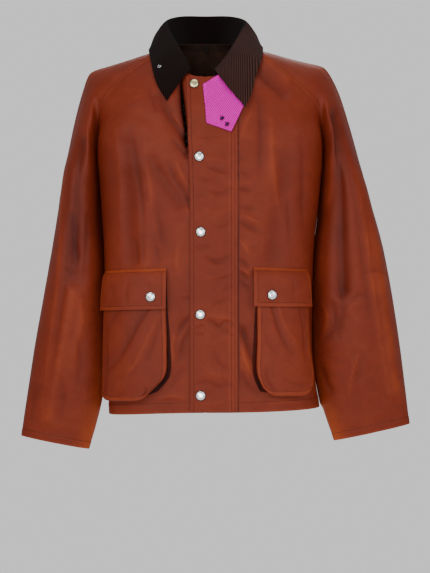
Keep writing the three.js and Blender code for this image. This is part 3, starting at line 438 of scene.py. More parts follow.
def sleeve_arc(ring, side, facing, count):
    """Half of a sleeve's ring below the underarm, from the underarm seam to the outer edge."""
    inner = np.array(side_point(BODY[0], side), float)
    if ring["inner"]:
        inner = np.array([ring["inner"][0], ring["y"], ring["inner"][1]], float)
    outer = np.array([ring["outer"][0], ring["y"], ring["outer"][1]], float)
    return ring_arc(
        (inner + outer) / 2,
        (outer - inner) / 2,
        [0, facing * ring["depth"], 0],
        ring["square"],
        np.pi,
        0,
        count,
    )


RAGLAN_LAST = len(RAGLAN["right"])
raglan_stops = np.linspace(0, RAGLAN_LAST, RAGLAN_ROWS + 1)
below_body = np.linspace(RAGLAN_LAST, RAGLAN_LAST + len(BODY) - 1, BODY_ROWS + 1)[1:]
below_sleeve = np.linspace(RAGLAN_LAST, RAGLAN_LAST + len(SLEEVE["right"]) - 1, SLEEVE_ROWS + 1)[1:]
body_stops = np.concatenate([raglan_stops, below_body])
sleeve_stops = np.concatenate([raglan_stops, below_sleeve])


def seams_of(side):
    """Seam lines that two pieces share, worked out once so that their points agree."""
    underarm = side_point(BODY[0], side)
    rows = RAGLAN[side]
    inner = [[ring["inner"][0], ring["y"], ring["inner"][1]] for ring in SLEEVE[side][1:]]
    sides = [side_point(ring, side) for ring in BODY]
    lower_side = smooth_curve(sides, below_body - RAGLAN_LAST)
    lower_arm = smooth_curve([underarm, *inner], below_sleeve - RAGLAN_LAST)
    lines = {}
    for edge in ("front", "back"):
        upper = smooth_curve([*(row[edge] for row in rows), underarm], raglan_stops)
        lines[edge] = np.concatenate([upper, lower_side])
        lines["sleeve_" + edge] = np.concatenate([upper, lower_arm])
    return lines


seams = {side: seams_of(side) for side in SIDES}


def onto_seam(grid, line, edge):
    """Eases the columns near a sewn edge onto its seam line."""
    shift = line - grid[:, edge]
    near = np.linspace(0, 1, grid.shape[1]) ** 4
    if edge == 0:
        near = near[::-1]
    return grid + shift[:, None] * near[None, :, None]


def front_grid(side):
    x = CENTRE_FRONT + side_sign(side) * FRONT_EDGE_GAP / 2
    rows = [
        upper_row(row, RAGLAN[side][i]["front"], x, FRONT_COLUMNS) for i, row in enumerate(CHEST)
    ]
    rows += [body_arc(ring, side, -1, x, FRONT_COLUMNS) for ring in BODY]
    return onto_seam(smooth_curve(rows, body_stops), seams[side]["front"], -1)


def back_grid():
    halves = []
    count = BACK_COLUMNS // 2 + 1
    for side in SIDES:
        rows = [
            upper_row(row, RAGLAN[side][i]["back"], CENTRE_BACK, count)
            for i, row in enumerate(BLADES)
        ]
        rows += [body_arc(ring, side, 1, CENTRE_BACK, count) for ring in BODY]
        halves.append(onto_seam(smooth_curve(rows, body_stops), seams[side]["back"], -1))
    return np.concatenate([halves[0][:, ::-1], halves[1][:, 1:]], axis=1)


def sleeve_grid(side, facing):
    edge = "front" if facing < 0 else "back"
    rows = [
        cap_row(row[edge], row["ridge"], facing, row, SLEEVE_COLUMNS) for row in RAGLAN[side]
    ]
    rows += [sleeve_arc(ring, side, facing, SLEEVE_COLUMNS) for ring in SLEEVE[side]]
    grid = onto_seam(smooth_curve(rows, sleeve_stops), seams[side]["sleeve_" + edge], 0)
    return grid if facing < 0 else grid[:, ::-1]


def sheet_of(points, turned):
    """A sheet over a grid of points. Turned sheets have their faces the other way."""
    points = np.array(points, float)
    return {"points": points, "turned": turned, "tone": np.zeros(points.shape[:2])}


def corner_sums(sheet):
    p = sheet["points"]
    a, b, d, e = p[:-1, :-1], p[:-1, 1:], p[1:, :-1], p[1:, 1:]
    facing = -1 if sheet["turned"] else 1
    first = facing * np.cross(b - a, d - a)
    second = facing * np.cross(e - b, d - b)
    sums = np.zeros_like(p)
    sums[:-1, :-1] += first
    sums[:-1, 1:] += first + second
    sums[1:, :-1] += first + second
    sums[1:, 1:] += second
    return sums


def add_normals(sheets):
    """Smooth normals, shared where points of any of the sheets fall together."""
    places = np.concatenate([s["points"].reshape(-1, 3) for s in sheets])
    totals = np.concatenate([corner_sums(s).reshape(-1, 3) for s in sheets])
    _, which = np.unique(np.round(places * 1000).astype(np.int64), axis=0, return_inverse=True)
    which = which.ravel()
    shared = np.zeros((which.max() + 1, 3))
    np.add.at(shared, which, totals)
    joined = shared[which]
    joined /= np.maximum(np.linalg.norm(joined, axis=1, keepdims=True), 1e-12)
    start = 0
    for sheet in sheets:
        count = sheet["points"].shape[0] * sheet["points"].shape[1]
        sheet["normals"] = joined[start : start + count].reshape(sheet["points"].shape)
        start += count


def fold_heights(points, normals):
    """How far the largest folds raise the cloth."""
    flat = points[..., [0, 2]]
    total = np.zeros(points.shape[:-1])
    for fold in FOLDS:
        start, end = np.array(fold["start"], float), np.array(fold["end"], float)
        along = end - start
        share = np.clip((flat - start) @ along / (along @ along), 0, 1)
        away = np.linalg.norm(flat - start - share[..., None] * along, axis=-1) / fold["width"]
        faced = ease(normals[..., 1] * fold["facing"], FOLD_FACING["none"], FOLD_FACING["full"])
        total += fold["height"] * faced * np.exp(-(away**2))
    return total


CREASE_LEAN = 0.35  # how much wider one flank is, and the other narrower
CREASE_TAPER = 0.7  # less than 1 keeps a crease deep until near its ends
BROAD_CREASE = 0.62  # share of a crease's height that is as broad as its width
SHARP_CREASE = 0.55  # share that has a third of that width


def nearest_on_line(spots, line):
    """How far each spot lies from a line, its place along it from 0 to 1, and its side."""
    lengths = np.linalg.norm(np.diff(line, axis=0), axis=1)
    run = np.concatenate([[0], np.cumsum(lengths)])
    away = np.full(len(spots), np.inf)
    place = np.zeros(len(spots))
    flank = np.zeros(len(spots))
    for a, b, start, length in zip(line[:-1], line[1:], run, lengths):
        along = (b - a) / length
        offset = spots - a
        reach = np.clip(offset @ along, 0, length)
        apart = offset - reach[:, None] * along
        distance = np.linalg.norm(apart, axis=1)
        closer = distance < away
        away = np.where(closer, distance, away)
        place = np.where(closer, start + reach, place)
        flank = np.where(closer, np.sign(apart @ np.array([-along[1], along[0]])), flank)
    return away, np.clip(place / run[-1], 0, 1), flank


def crease_heights(flat, creases):
    """Heights of the listed creases at flat points. Each fades to nothing at its two ends, has a
    sharper middle, and one flank is steeper than the other."""
    total = np.zeros(flat.shape[:-1])
    for number, crease in enumerate(creases):
        line, width = crease["line"], crease["width"]
        line = smooth_curve(line, np.linspace(0, len(line) - 1, 4 * (len(line) - 1) + 1))
        low, high = line.min(axis=0) - 3 * width, line.max(axis=0) + 3 * width
        near = np.all((flat > low) & (flat < high), axis=-1)
        if not near.any():
            continue
        away, place, flank = nearest_on_line(flat[near], line)
        lean = CREASE_LEAN if number % 2 else -CREASE_LEAN
        away = away / (width * (1 + lean * flank))
        taper = np.sin(np.pi * place) ** CREASE_TAPER
        profile = BROAD_CREASE * np.exp(-(away**2)) + SHARP_CREASE * np.exp(-((3 * away) ** 2))
        total[near] += crease["height"] * taper * profile
    return total


DENT_FINENESS = 2.3  # how much smaller the dents of the second layer are
DENT_MEAN = 0.42


def crumple(points, size, seed):
    """Small irregular dents, as waxed cloth keeps from being handled."""
    values = []
    for place in (points.reshape(-1, 3) / size + seed).tolist():
        finer = [part * DENT_FINENESS for part in place]
        values.append(abs(noise.noise(place)) + 0.5 * abs(noise.noise(finer)))
    return (DENT_MEAN - np.array(values)).reshape(points.shape[:-1])


def run_down(sheet):
    """How far each point lies down its column from the first row."""
    steps = np.linalg.norm(np.diff(sheet["points"], axis=0), axis=-1)
    return np.concatenate([np.zeros((1, steps.shape[1])), np.cumsum(steps, axis=0)])


def run_across(sheet):
    """How far each point lies along its row from the first column."""
    steps = np.linalg.norm(np.diff(sheet["points"], axis=1), axis=-1)
    return np.concatenate([np.zeros((steps.shape[0], 1)), np.cumsum(steps, axis=1)], axis=1)


def lift(sheet, heights, painted_shade_share=0.0):
    """Moves a sheet out along its normals, and paints what is raised lighter and what is sunk darker,
    as painted light and shade.
    """
    sheet["points"] = sheet["points"] + sheet["normals"] * heights[..., None]
    sheet["tone"] = sheet["tone"] + heights * painted_shade_share


panels = {
    "front_right": sheet_of(front_grid("right"), False),
    "front_left": sheet_of(front_grid("left"), True),
    "back": sheet_of(back_grid(), False),
}
for side in SIDES:
    for half, facing in (("front", -1), ("back", 1)):
        panels[f"sleeve_{half}_{side}"] = sheet_of(sleeve_grid(side, facing), side == "left")
all_sheets = list(panels.values())
add_normals(all_sheets)
for sheet in all_sheets:
    # The folds' ridges get painted light and their troughs painted shade
    lift(sheet, fold_heights(sheet["points"], sheet["normals"]), 0.05)
add_normals(all_sheets)


def surface_tree(sheets):
    """A tree to look points up on sheets, with the corners and normals of its triangles."""
    corners, normals, triangles = [], [], []
    for sheet in sheets:
        rows, columns = sheet["points"].shape[:2]
        first = sum(len(c) for c in corners)
        index = np.arange(rows * columns).reshape(rows, columns) + first
        a, b, d, e = index[:-1, :-1], index[:-1, 1:], index[1:, :-1], index[1:, 1:]
        triangles.append(np.stack([a, b, d], -1).reshape(-1, 3))
        triangles.append(np.stack([b, e, d], -1).reshape(-1, 3))
        corners.append(sheet["points"].reshape(-1, 3))
        normals.append(sheet["normals"].reshape(-1, 3))
    corners, normals = np.concatenate(corners), np.concatenate(normals)
    triangles = np.concatenate(triangles)
    tree = BVHTree.FromPolygons(corners.tolist(), triangles.tolist())
    return tree, corners, normals, triangles


def seen_from_front(surface, x, z):
    """The point and smooth normal that a line along Y first meets, or nothing."""
    tree, corners, normals, triangles = surface
    spot, _, number, _ = tree.ray_cast((x, -400, z), (0, 1, 0))
    if spot is None:
        return None
    a, b, c = corners[triangles[number]]
    area = (b[0] - a[0]) * (c[2] - a[2]) - (c[0] - a[0]) * (b[2] - a[2])
    v = ((x - a[0]) * (c[2] - a[2]) - (c[0] - a[0]) * (z - a[2])) / area
    w = ((b[0] - a[0]) * (z - a[2]) - (x - a[0]) * (b[2] - a[2])) / area
    normal = np.array([1 - v - w, v, w]) @ normals[triangles[number]]
    return np.array(spot), normal / np.linalg.norm(normal)


FRONT_PANELS = ("front_right", "front_left", "sleeve_front_right", "sleeve_front_left")
front_surface = surface_tree([panels[name] for name in FRONT_PANELS])
HEM_SEARCH = -730  # below this, a point just past the hem takes the cloth above it


def front_at(x, z):
    """The front of the panels at x and z, also between the fronts and just past the hem."""
    seen = seen_from_front(front_surface, x, z)
    if seen and seen[1][1] < 0:
        return seen
    from_edge = x - CENTRE_FRONT or 1
    if abs(from_edge) < FRONT_EDGE_GAP:
        return front_at(CENTRE_FRONT + FRONT_EDGE_GAP * np.sign(from_edge), z)
    if z < HEM_SEARCH:
        return front_at(x, z + 1)
    raise ValueError(f"no cloth at {x}, {z}")


def over_front(x, z, out):
    """A point that far outside the front panels, seen at x and z from the front."""
    point, normal = front_at(x, z)
    return np.array([x, point[1], z]) + normal * out


# The fronts before their creases, for what is laid out on them
base_fronts = {side: dict(panels["front_" + side]) for side in SIDES}


def along_front(side, run, z, out):
    """A point of a front below the underarm, by its run along the cloth and its height."""
    sheet = base_fronts[side]
    points, normals = sheet["points"], sheet["normals"]
    heights = points[:, 0, 2]
    row = RAGLAN_ROWS
    row = int(np.clip(np.searchsorted(-heights[row:], -z) + row - 1, row, len(heights) - 2))
    down = (heights[row] - z) / (heights[row] - heights[row + 1])

    def at(index):
        steps = np.linalg.norm(np.diff(points[index], axis=0), axis=1)
        reach = np.concatenate([[0], np.cumsum(steps)])
        c = int(np.clip(np.searchsorted(reach, run) - 1, 0, len(steps) - 1))
        share = (run - reach[c]) / steps[c]
        return [mix(part[index, c], part[index, c + 1], share) for part in (points, normals)]

    (upper, upper_normal), (lower, lower_normal) = at(row), at(row + 1)
    normal = mix(upper_normal, lower_normal, down)
    return mix(upper, lower, down) + normal / np.linalg.norm(normal) * out


# The collar

COLLAR_STATIONS = 260
COLLAR_ROWS = 60
COLLAR_LIFT = 0.8  # from the neckline to the foot of the stand
NECK_AXIS = (-12, 10)  # x and y that the wales turn about
NECK_RADIUS = 105
NECK_FRONT = -72  # from this far in front of the axis on, the wales hang straight down
WALE_PITCH = 3.0
# The inside of the collar is painted darker, as painted shade, and the left leaf is painted
# lighter. The shares say where its fall begins, from foot to edge, and the leaf, round the neck.
FALL_FROM = (0.46, 0.56)
LEFT_LEAF_FROM = (0.58, 0.7)
INSIDE_PAINTED_SHADE = -0.12
LEFT_LEAF_TONE = 0.36


def neckline():
    """The edge of all the panels round the neck, between the two ends of the collar."""
    start, end = COLLAR[0]["fold"][0], COLLAR[-1]["fold"][0]

    def top(name):
        return panels[name]["points"][0]

    front_right, front_left = top("front_right"), top("front_left")[::-1][1:]
    return respace(
        np.concatenate(
            [
                front_right[front_right[:, 0] <= start],
                top("sleeve_front_right")[1:],
                top("sleeve_back_right")[1:],
                top("back")[1:],
                top("sleeve_back_left")[::-1][1:],
                top("sleeve_front_left")[::-1][1:],
                front_left[front_left[:, 0] >= end],
            ]
        ),
        COLLAR_STATIONS,
    )


def collar_sheet():
    """The collar from the foot of its stand over the fold to its edge, at stations round the neck."""
    tracks = {}
    for name in ("fold", "drape", "edge"):
        line = []
        for row in COLLAR:
            x, y, z = row[name]
            lifted = "lift" in row and name != "fold"
            line.append(over_front(x, z, y) if lifted else np.array([x, y, z], float))
        tracks[name] = line
    stations = np.linspace(0, 1, COLLAR_STATIONS)
    share = np.interp(stations, [row["at"] for row in COLLAR], np.arange(len(COLLAR)))
    fold, drape, edge = (smooth_curve(tracks[n], share) for n in ("fold", "drape", "edge"))
    foot = neckline()
    rise = fold - foot
    foot = foot + rise / np.linalg.norm(rise, axis=1, keepdims=True) * COLLAR_LIFT
    section = np.stack([foot, mix(foot, fold, 0.5), fold, drape, edge])
    grid = smooth_curve(section, np.linspace(0, len(section) - 1, COLLAR_ROWS))
    return sheet_of(grid.transpose(1, 0, 2), True)


def turn_about_neck(points):
    """How far round the neck each point lies, as a length. In front it follows x alone."""
    x, y = points[..., 0] - NECK_AXIS[0], points[..., 1] - NECK_AXIS[1]
    return np.arctan2(x, np.maximum(y, NECK_FRONT)) * NECK_RADIUS


# The placket

PLACKET_COLUMNS = 60
PLACKET_ROWS = 290
NECK_CLEARANCE = 1  # the placket ends this far under the neckline
PLACKET_SEWING = (40.6, 47.2)  # x of its two rows of stitches
PLACKET_EDGE_SEWING = 6.5  # from its free edge
PLACKET_FACING = (33, 37)  # x where its doubled cloth by the seam begins
PLACKET_LEAST_GAP = 0.4  # left under its deepest creases
SNAP_FLAT = 8  # width round a snap over which creases fade out


def placket_free(z):
    """x of the placket's free edge at a height."""
    down = np.clip((z - PLACKET["top"]) / (PLACKET_NECK["even_from"] - PLACKET["top"]), 0, 1)
    return mix(PLACKET_NECK["free"], PLACKET["free"], down)


def placket_out(x):
    """How far the outer side of the placket stands off the panels at x."""
    share = (x - PLACKET["free"]) / (PLACKET["seam"] - PLACKET["free"])
    settled = ease(share, PLACKET_SETTLES["start"], PLACKET_SETTLES["end"])
    return mix(PLACKET["stand_off"], PLACKET["seam_gap"], settled) + CLOTH


def neck_z(x):
    """Height of the placket's top edge at x, just under the neckline edge of the fronts."""
    edge = np.concatenate(
        [base_fronts["right"]["points"][0][::-1], base_fronts["left"]["points"][0]]
    )
    return np.interp(x, edge[:, 0], edge[:, 2]) - NECK_CLEARANCE


def placket_sheet():
    """The placket over both fronts, with its creases, its doubled edge and the dips of its sewing."""
    grid = []
    flat = []
    for z in np.linspace(PLACKET["top"], PLACKET["bottom"], PLACKET_ROWS):
        row = []
        for x in np.linspace(placket_free(z), PLACKET["seam"], PLACKET_COLUMNS):
            height = min(z, neck_z(x))
            row.append(over_front(x, height, placket_out(x)))
            flat.append((x, height))
        grid.append(row)
    sheet = sheet_of(grid, True)
    add_normals([sheet])
    flat = np.array(flat).reshape(PLACKET_ROWS, PLACKET_COLUMNS, 2)
    x = flat[..., 0]
    heights = crease_heights(flat, PLACKET_CREASES)
    heights += 0.35 * crumple(sheet["points"], 38, 7.0) * ease(x, PLACKET["free"], -20)
    for snap in SNAPS:
        apart = np.hypot(x - snap["x"], flat[..., 1] - snap["z"])
        heights = heights * ease(apart, SNAP["radius"], SNAP["radius"] + SNAP_FLAT)
    room = placket_out(x) - CLOTH - PLACKET_LEAST_GAP
    heights = np.maximum(heights, -room)
    # The creases are painted lighter on their ridges and darker in their troughs, as painted light
    # and shade
    lift(sheet, heights, 0.12)
    doubled = 0.5 * ease(x, *PLACKET_FACING)
    for row_x in PLACKET_SEWING:
        doubled -= 0.35 * np.exp(-(((x - row_x) / 1.3) ** 2))
    from_free = x - placket_free(flat[..., 1])
    doubled -= 0.25 * np.exp(-(((from_free - PLACKET_EDGE_SEWING) / 1.5) ** 2))
    # Painted light on the doubled cloth, and painted shade in the dips of its sewing
    lift(sheet, doubled, 0.25)
    return sheet


# The throat tab

TAB_STAND_OFF = 8.2  # of its outer side from the fronts
TAB_POINTS = 40  # along each way
TAB_ACROSS = (0.84, 0.54)  # the way across the wales, as x and z


def tab_sheet():
    """The throat tab, from its near edge to the far one, which turns at its side corner."""
    corners = {name: np.array(spot, float) for name, spot in TAB_CORNERS.items()}
    grid, wales = [], []
    for down in np.linspace(0, 1, TAB_POINTS):
        near = mix(corners["top_near"], corners["bottom_near"], down)
        if down < 0.5:
            far = mix(corners["top_far"], corners["side"], down * 2)
        else:
            far = mix(corners["side"], corners["bottom_far"], down * 2 - 1)
        row = [mix(near, far, share) for share in np.linspace(0, 1, TAB_POINTS)]
        grid.append([over_front(x, z, TAB_STAND_OFF) for x, z in row])
        wales.append([x * TAB_ACROSS[0] + z * TAB_ACROSS[1] for x, z in row])
    sheet = sheet_of(grid, True)
    add_normals([sheet])
    sheet["wale"] = np.array(wales)
    return sheet


# Pockets and flaps

POCKET_COLUMNS = 64
POCKET_ROWS = 84
POCKET_MOUTH = 6.8  # how far the face stands off the panel at its open top
POCKET_FOOT = 20  # and at its bottom
POCKET_SWELL = 4
GUSSET_TUCK = 6  # how far the gusset runs in under the face
GUSSET_FLARE = 9  # and out past the foot of its edge near the centre front
GUSSET_TURN = 0.25  # share across where the flare has become the tuck
GUSSET_RINGS = 6
GUSSET_BOW = 3  # how far it bows out between face and panel
GUSSET_TONE = -0.85  # it lies in the shade of the face
FACE_DROP = 2.2  # how far a pocket's face rounds off at its edge
BAG_SEWING = 10.2  # from the edges of a pocket's face
FLAP_SEWING = 7.6  # from the edges of a flap
FLAP_TOP_SEWING = 8
FLAP_COLUMNS = 56
FLAP_ROWS = 34
FLAP_SNAP_OUT = 16

# Creases on the pockets, as shares across from the centre front and down from the mouth.
POCKET_CREASES = {
    "right": [
        dict(line=[(0.10, 0.13), (0.42, 0.32), (0.78, 0.60)], width=0.055, height=-2.6),
        dict(line=[(0.02, 0.22), (0.35, 0.44), (0.66, 0.74)], width=0.06, height=1.4),
        dict(line=[(0.06, 0.30), (0.22, 0.46), (0.34, 0.56)], width=0.04, height=-1.6),
        dict(line=[(0.34, 0.50), (0.50, 0.62), (0.66, 0.66)], width=0.04, height=-1.2),
        dict(line=[(0.30, 0.76), (0.24, 0.88), (0.30, 0.98)], width=0.035, height=-1.8),
        dict(line=[(0.60, 0.10), (0.70, 0.24), (0.90, 0.34)], width=0.05, height=-1.2),
        dict(line=[(0.86, 0.30), (0.80, 0.60), (0.86, 0.90)], width=0.05, height=-1.2),
        dict(line=[(0.55, 0.80), (0.66, 0.92), (0.84, 0.96)], width=0.05, height=-1.0),
    ],
    "left": [
        dict(line=[(0.22, 0.12), (0.38, 0.36), (0.62, 0.56)], width=0.055, height=-2.6),
        dict(line=[(0.34, 0.12), (0.50, 0.34), (0.74, 0.50)], width=0.05, height=1.3),
        dict(line=[(0.10, 0.40), (0.26, 0.50), (0.42, 0.54)], width=0.04, height=-1.2),
        dict(line=[(0.20, 0.62), (0.22, 0.78), (0.34, 0.92)], width=0.045, height=-1.4),
        dict(line=[(0.74, 0.14), (0.80, 0.40), (0.76, 0.66)], width=0.05, height=-1.1),
        dict(line=[(0.46, 0.70), (0.60, 0.80), (0.80, 0.82)], width=0.045, height=-1.1),
    ],
}
FLAP_CREASES = {
    "right": [
        dict(line=[(0.05, 0.66), (0.22, 0.46), (0.30, 0.30)], width=0.06, height=-1.0),
        dict(line=[(0.16, 0.60), (0.20, 0.40), (0.16, 0.20)], width=0.05, height=0.8),
        dict(line=[(0.52, 0.20), (0.56, 0.60), (0.52, 0.96)], width=0.06, height=-0.8),
        dict(line=[(0.80, 0.30), (0.76, 0.70), (0.84, 0.98)], width=0.06, height=-0.7),
    ],
    "left": [
        dict(line=[(0.30, 0.86), (0.36, 0.66), (0.30, 0.44)], width=0.06, height=-0.9),
        dict(line=[(0.66, 0.24), (0.70, 0.60), (0.64, 0.96)], width=0.07, height=-0.8),
    ],
}


def outline_at(points, share):
    return smooth_curve(points, np.asarray(share) * (len(points) - 1))


def pocket_places(side, across, down):
    """Run and height on the front of points of the bag's face."""
    outline = POCKETS[side]
    near, far, bottom = (np.array(outline[n], float) for n in ("near", "far", "bottom"))
    left, right = outline_at(near, down), outline_at(far, down)
    low = outline_at(bottom, across)
    shares = across[:, None]
    high = mix(near[0], far[0], shares)
    straight_low = mix(near[-1], far[-1], shares)
    spots = np.zeros((len(down), len(across), 2))
    for r, d in enumerate(down):
        sides = mix(left[r], right[r], shares)
        spots[r] = sides + mix(high, low, d) - mix(high, straight_low, d)
    return spots


def rim_distance(sheet, top=True):
    """How far each point lies from the nearest edge of its sheet, the top one too or not."""
    across, along = run_across(sheet), run_down(sheet)
    parts = [across, across[:, -1:] - across, along[-1:] - along]
    if top:
        parts.append(along)
    return np.min(parts, axis=0)


def pocket_sheet(side):
    """The face of a pocket bag, with the places of its points on the front."""
    across = np.linspace(0, 1, POCKET_COLUMNS)
    down = np.linspace(0, 1, POCKET_ROWS)
    spots = pocket_places(side, across, down)
    swell = POCKET_SWELL * np.outer(np.sin(np.pi * down), np.sin(np.pi * across))
    out = mix(POCKET_MOUTH, POCKET_FOOT, down)[:, None] + swell
    face = np.array(
        [
            [along_front(side, *spots[r, c], out[r, c]) for c in range(POCKET_COLUMNS)]
            for r in range(POCKET_ROWS)
        ]
    )
    sheet = sheet_of(face, side == "left")
    add_normals([sheet])
    flat = np.stack(np.meshgrid(across, down), axis=-1)
    heights = crease_heights(flat, POCKET_CREASES[side])
    inset = rim_distance(sheet, top=False)
    heights = heights * ease(inset, 4, 16) + 0.5 * crumple(face, 40, 3.0) * ease(inset, 3, 10)
    heights += 0.9 * ease(inset, 11, 9.5) - FACE_DROP * ease(inset, 3.2, 0) ** 2
    # Painted light where the face is raised, and painted shade in its creases and where it rounds off
    lift(sheet, heights, 0.12)
    sheet["tone"] += 0.11 * ease(inset, 12.5, 7)
    return sheet, spots, down


def gusset_rings(side, sheet, spots, down):
    """Rings of points from the rim of the bag's face in to the panel."""
    rows, columns = sheet["points"].shape[:2]
    rim = [(r, 0) for r in range(rows)]
    rim += [(rows - 1, c) for c in range(1, columns)]
    rim += [(r, columns - 1) for r in range(rows - 2, -1, -1)]
    middle = spots[rows // 2, columns // 2]
    rings = []
    for ring in range(1, GUSSET_RINGS + 1):
        share = ring / GUSSET_RINGS
        line = []
        for r, c in rim:
            flared = 1 - np.clip(c / (columns - 1) / GUSSET_TURN, 0, 1)
            foot = mix(GUSSET_TUCK, -GUSSET_FLARE * np.sqrt(down[r]), flared)
            tuck = foot * share + GUSSET_BOW * np.sin(np.pi * share)
            inward = middle - spots[r, c]
            if r == 0:
                inward = np.array([inward[0], 0])
            inward = inward / max(np.linalg.norm(inward), 1e-9) * tuck
            stand = mix(POCKET_MOUTH, POCKET_FOOT, down[r]) - FACE_DROP
            out = mix(stand, LAY_GAP + CLOTH / 2, share)
            line.append(along_front(side, *(spots[r, c] + inward), out))
        rings.append(np.array(line))
    return rim, rings


def flap_sheet(side):
    """A pocket flap, sewn down along its top and standing off over the bag."""
    flap = POCKETS[side]["flap"]
    across = np.linspace(0, 1, FLAP_COLUMNS)
    reach = np.linspace(0, FLAP_HEIGHTS[-1], FLAP_ROWS)
    out = np.interp(reach, FLAP_HEIGHTS, FLAP_STAND_OFF)
    grid = []
    for row, down in enumerate(reach):
        line = []
        for share in across:
            drop = down / FLAP_HEIGHTS[-1] * mix(flap["depth"], flap["far_depth"], share)
            z = mix(flap["top_near"], flap["top_far"], share) - drop
            line.append(along_front(side, mix(flap["near"], flap["far"], share), z, out[row]))
        grid.append(line)
    sheet = sheet_of(grid, side == "left")
    add_normals([sheet])
    flat = np.stack(np.meshgrid(across, reach / reach[-1]), axis=-1)
    inset = rim_distance(sheet)
    heights = crease_heights(flat, FLAP_CREASES[side]) + 0.45 * crumple(sheet["points"], 36, 11.0)
    heights = heights * ease(inset, 2, 9) + 0.6 * ease(inset, 9, 7.5)
    # Painted light on the flap's raised cloth, and painted shade in its creases
    lift(sheet, heights, 0.1)
    sheet["tone"] += 0.08 * ease(inset, 8.5, 5) + 0.22 * ease(run_down(sheet), 9, 7)
    return sheet


# The strip inside the back neck, and the hanging loop


def inside_back(column, down, inset):
    """A point inside the back, that far down one of its columns and in from its outer side."""
    run = run_down(panels["back"])[:, column]
    spot, normal = (
        along_line(down, run, panels["back"][part][:, column]) for part in ("points", "normals")
    )
    return spot - normal / np.linalg.norm(normal) * inset


def neck_strip_sheet():
    ends = int(NECK_STRIP["ends"] * BACK_COLUMNS)
    grid = [
        [inside_back(c, down, NECK_STRIP["inset"]) for c in range(ends, BACK_COLUMNS + 1 - ends)]
        for down in np.linspace(NECK_STRIP["top"], NECK_STRIP["bottom"], 8)
    ]
    return sheet_of(grid, False)


def loop_sheet():
    path = smooth_curve(LOOP_PATH, np.linspace(0, len(LOOP_PATH) - 1, 31))
    grid = []
    for down, inset in path:
        point = inside_back(BACK_COLUMNS // 2, down, inset)
        shifts = np.linspace(-LOOP["width"] / 2, LOOP["width"] / 2, 5)
        grid.append([point + np.array([shift, 0, 0]) for shift in shifts])
    return sheet_of(grid, False)


collar = collar_sheet()
add_normals([collar])
collar["wale"] = turn_about_neck(collar["points"])
fall = ease(np.arange(COLLAR_ROWS) / (COLLAR_ROWS - 1), *FALL_FROM)
left_leaf = ease(np.arange(COLLAR_STATIONS) / (COLLAR_STATIONS - 1), *LEFT_LEAF_FROM)
# Painted shade on the inside of the collar, and the left leaf painted lighter
collar["tone"] += LEFT_LEAF_TONE * left_leaf[:, None] * fall + INSIDE_PAINTED_SHADE * (1 - fall)
placket = placket_sheet()
tab = tab_sheet()
strip = neck_strip_sheet()
loop = loop_sheet()
pockets = {side: pocket_sheet(side) for side in SIDES}
flaps = {side: flap_sheet(side) for side in SIDES}

# Details of the panels, once everything that lies on them is placed

HEM = 20  # depth of the doubled cloth at the body's hem
CUFF = 15
SEAM_GROOVE = 0.8  # depth of the dip at a raglan seam
SIDE_RIDGE = 0.2  # height of the cloth at the side and underarm seams


def doubled_edge(sheet, depth):
    """The turned-up cloth along the last row stands out, and its stitches draw it in."""
    run = run_down(sheet)
    left = run[-1:] - run
    heights = 0.6 * ease(left, depth + 1.5, depth) - 0.5 * np.exp(-(((left - depth) / 1.6) ** 2))
    sheet["tone"] += 0.22 * ease(left, 5, 1.5)
    return heights


def sewn_edges(sheet, sewn, lapped):
    """Cloth dips at a seam, and on the lapped side it is doubled for the width of the sewing. It
    stands up a little where a sleeve hangs against the side of the body."""
    run = run_across(sheet)
    heights = np.zeros(run.shape)
    above_underarm = np.arange(run.shape[0])[:, None] <= RAGLAN_ROWS
    at_seam = np.where(above_underarm, -SEAM_GROOVE, SIDE_RIDGE)
    for name, away in (("first", run), ("last", run[:, -1:] - run)):
        if name in sewn:
            heights += at_seam * np.exp(-((away / 2.2) ** 2))
        if name in lapped:
            band = ease(away, 1.5, 3) * ease(away, 9.5, 8)
            heights += 0.5 * band
            sheet["tone"] += 0.12 * band
    return heights


def dress_panel(name, creases, clear, lapped, seed):
    """Gives a panel its creases and dents, its turned edge and its seams. clear is 1 where the
    placket leaves it bare."""
    sheet = panels[name]
    points = sheet["points"]
    flat = points[..., [0, 2]]
    heights = crease_heights(flat, creases) * clear
    # The creases and dents are painted lighter where raised and darker where sunk, as painted light
    # and shade
    lift(sheet, heights, 0.14)
    across = run_across(sheet)
    inset = np.minimum(across, across[:, -1:] - across)
    dents = 0.8 * crumple(points, 52, seed) + 0.15 * crumple(points, 19, seed + 5)
    lift(sheet, dents * clear * ease(inset, 2, 26), 0.1)
    sleeve = name.startswith("sleeve")
    edge = doubled_edge(sheet, CUFF if sleeve else HEM)
    sewn = ("first", "last") if sleeve or name == "back" else ("last",)
    lift(sheet, edge + sewn_edges(sheet, sewn, lapped))
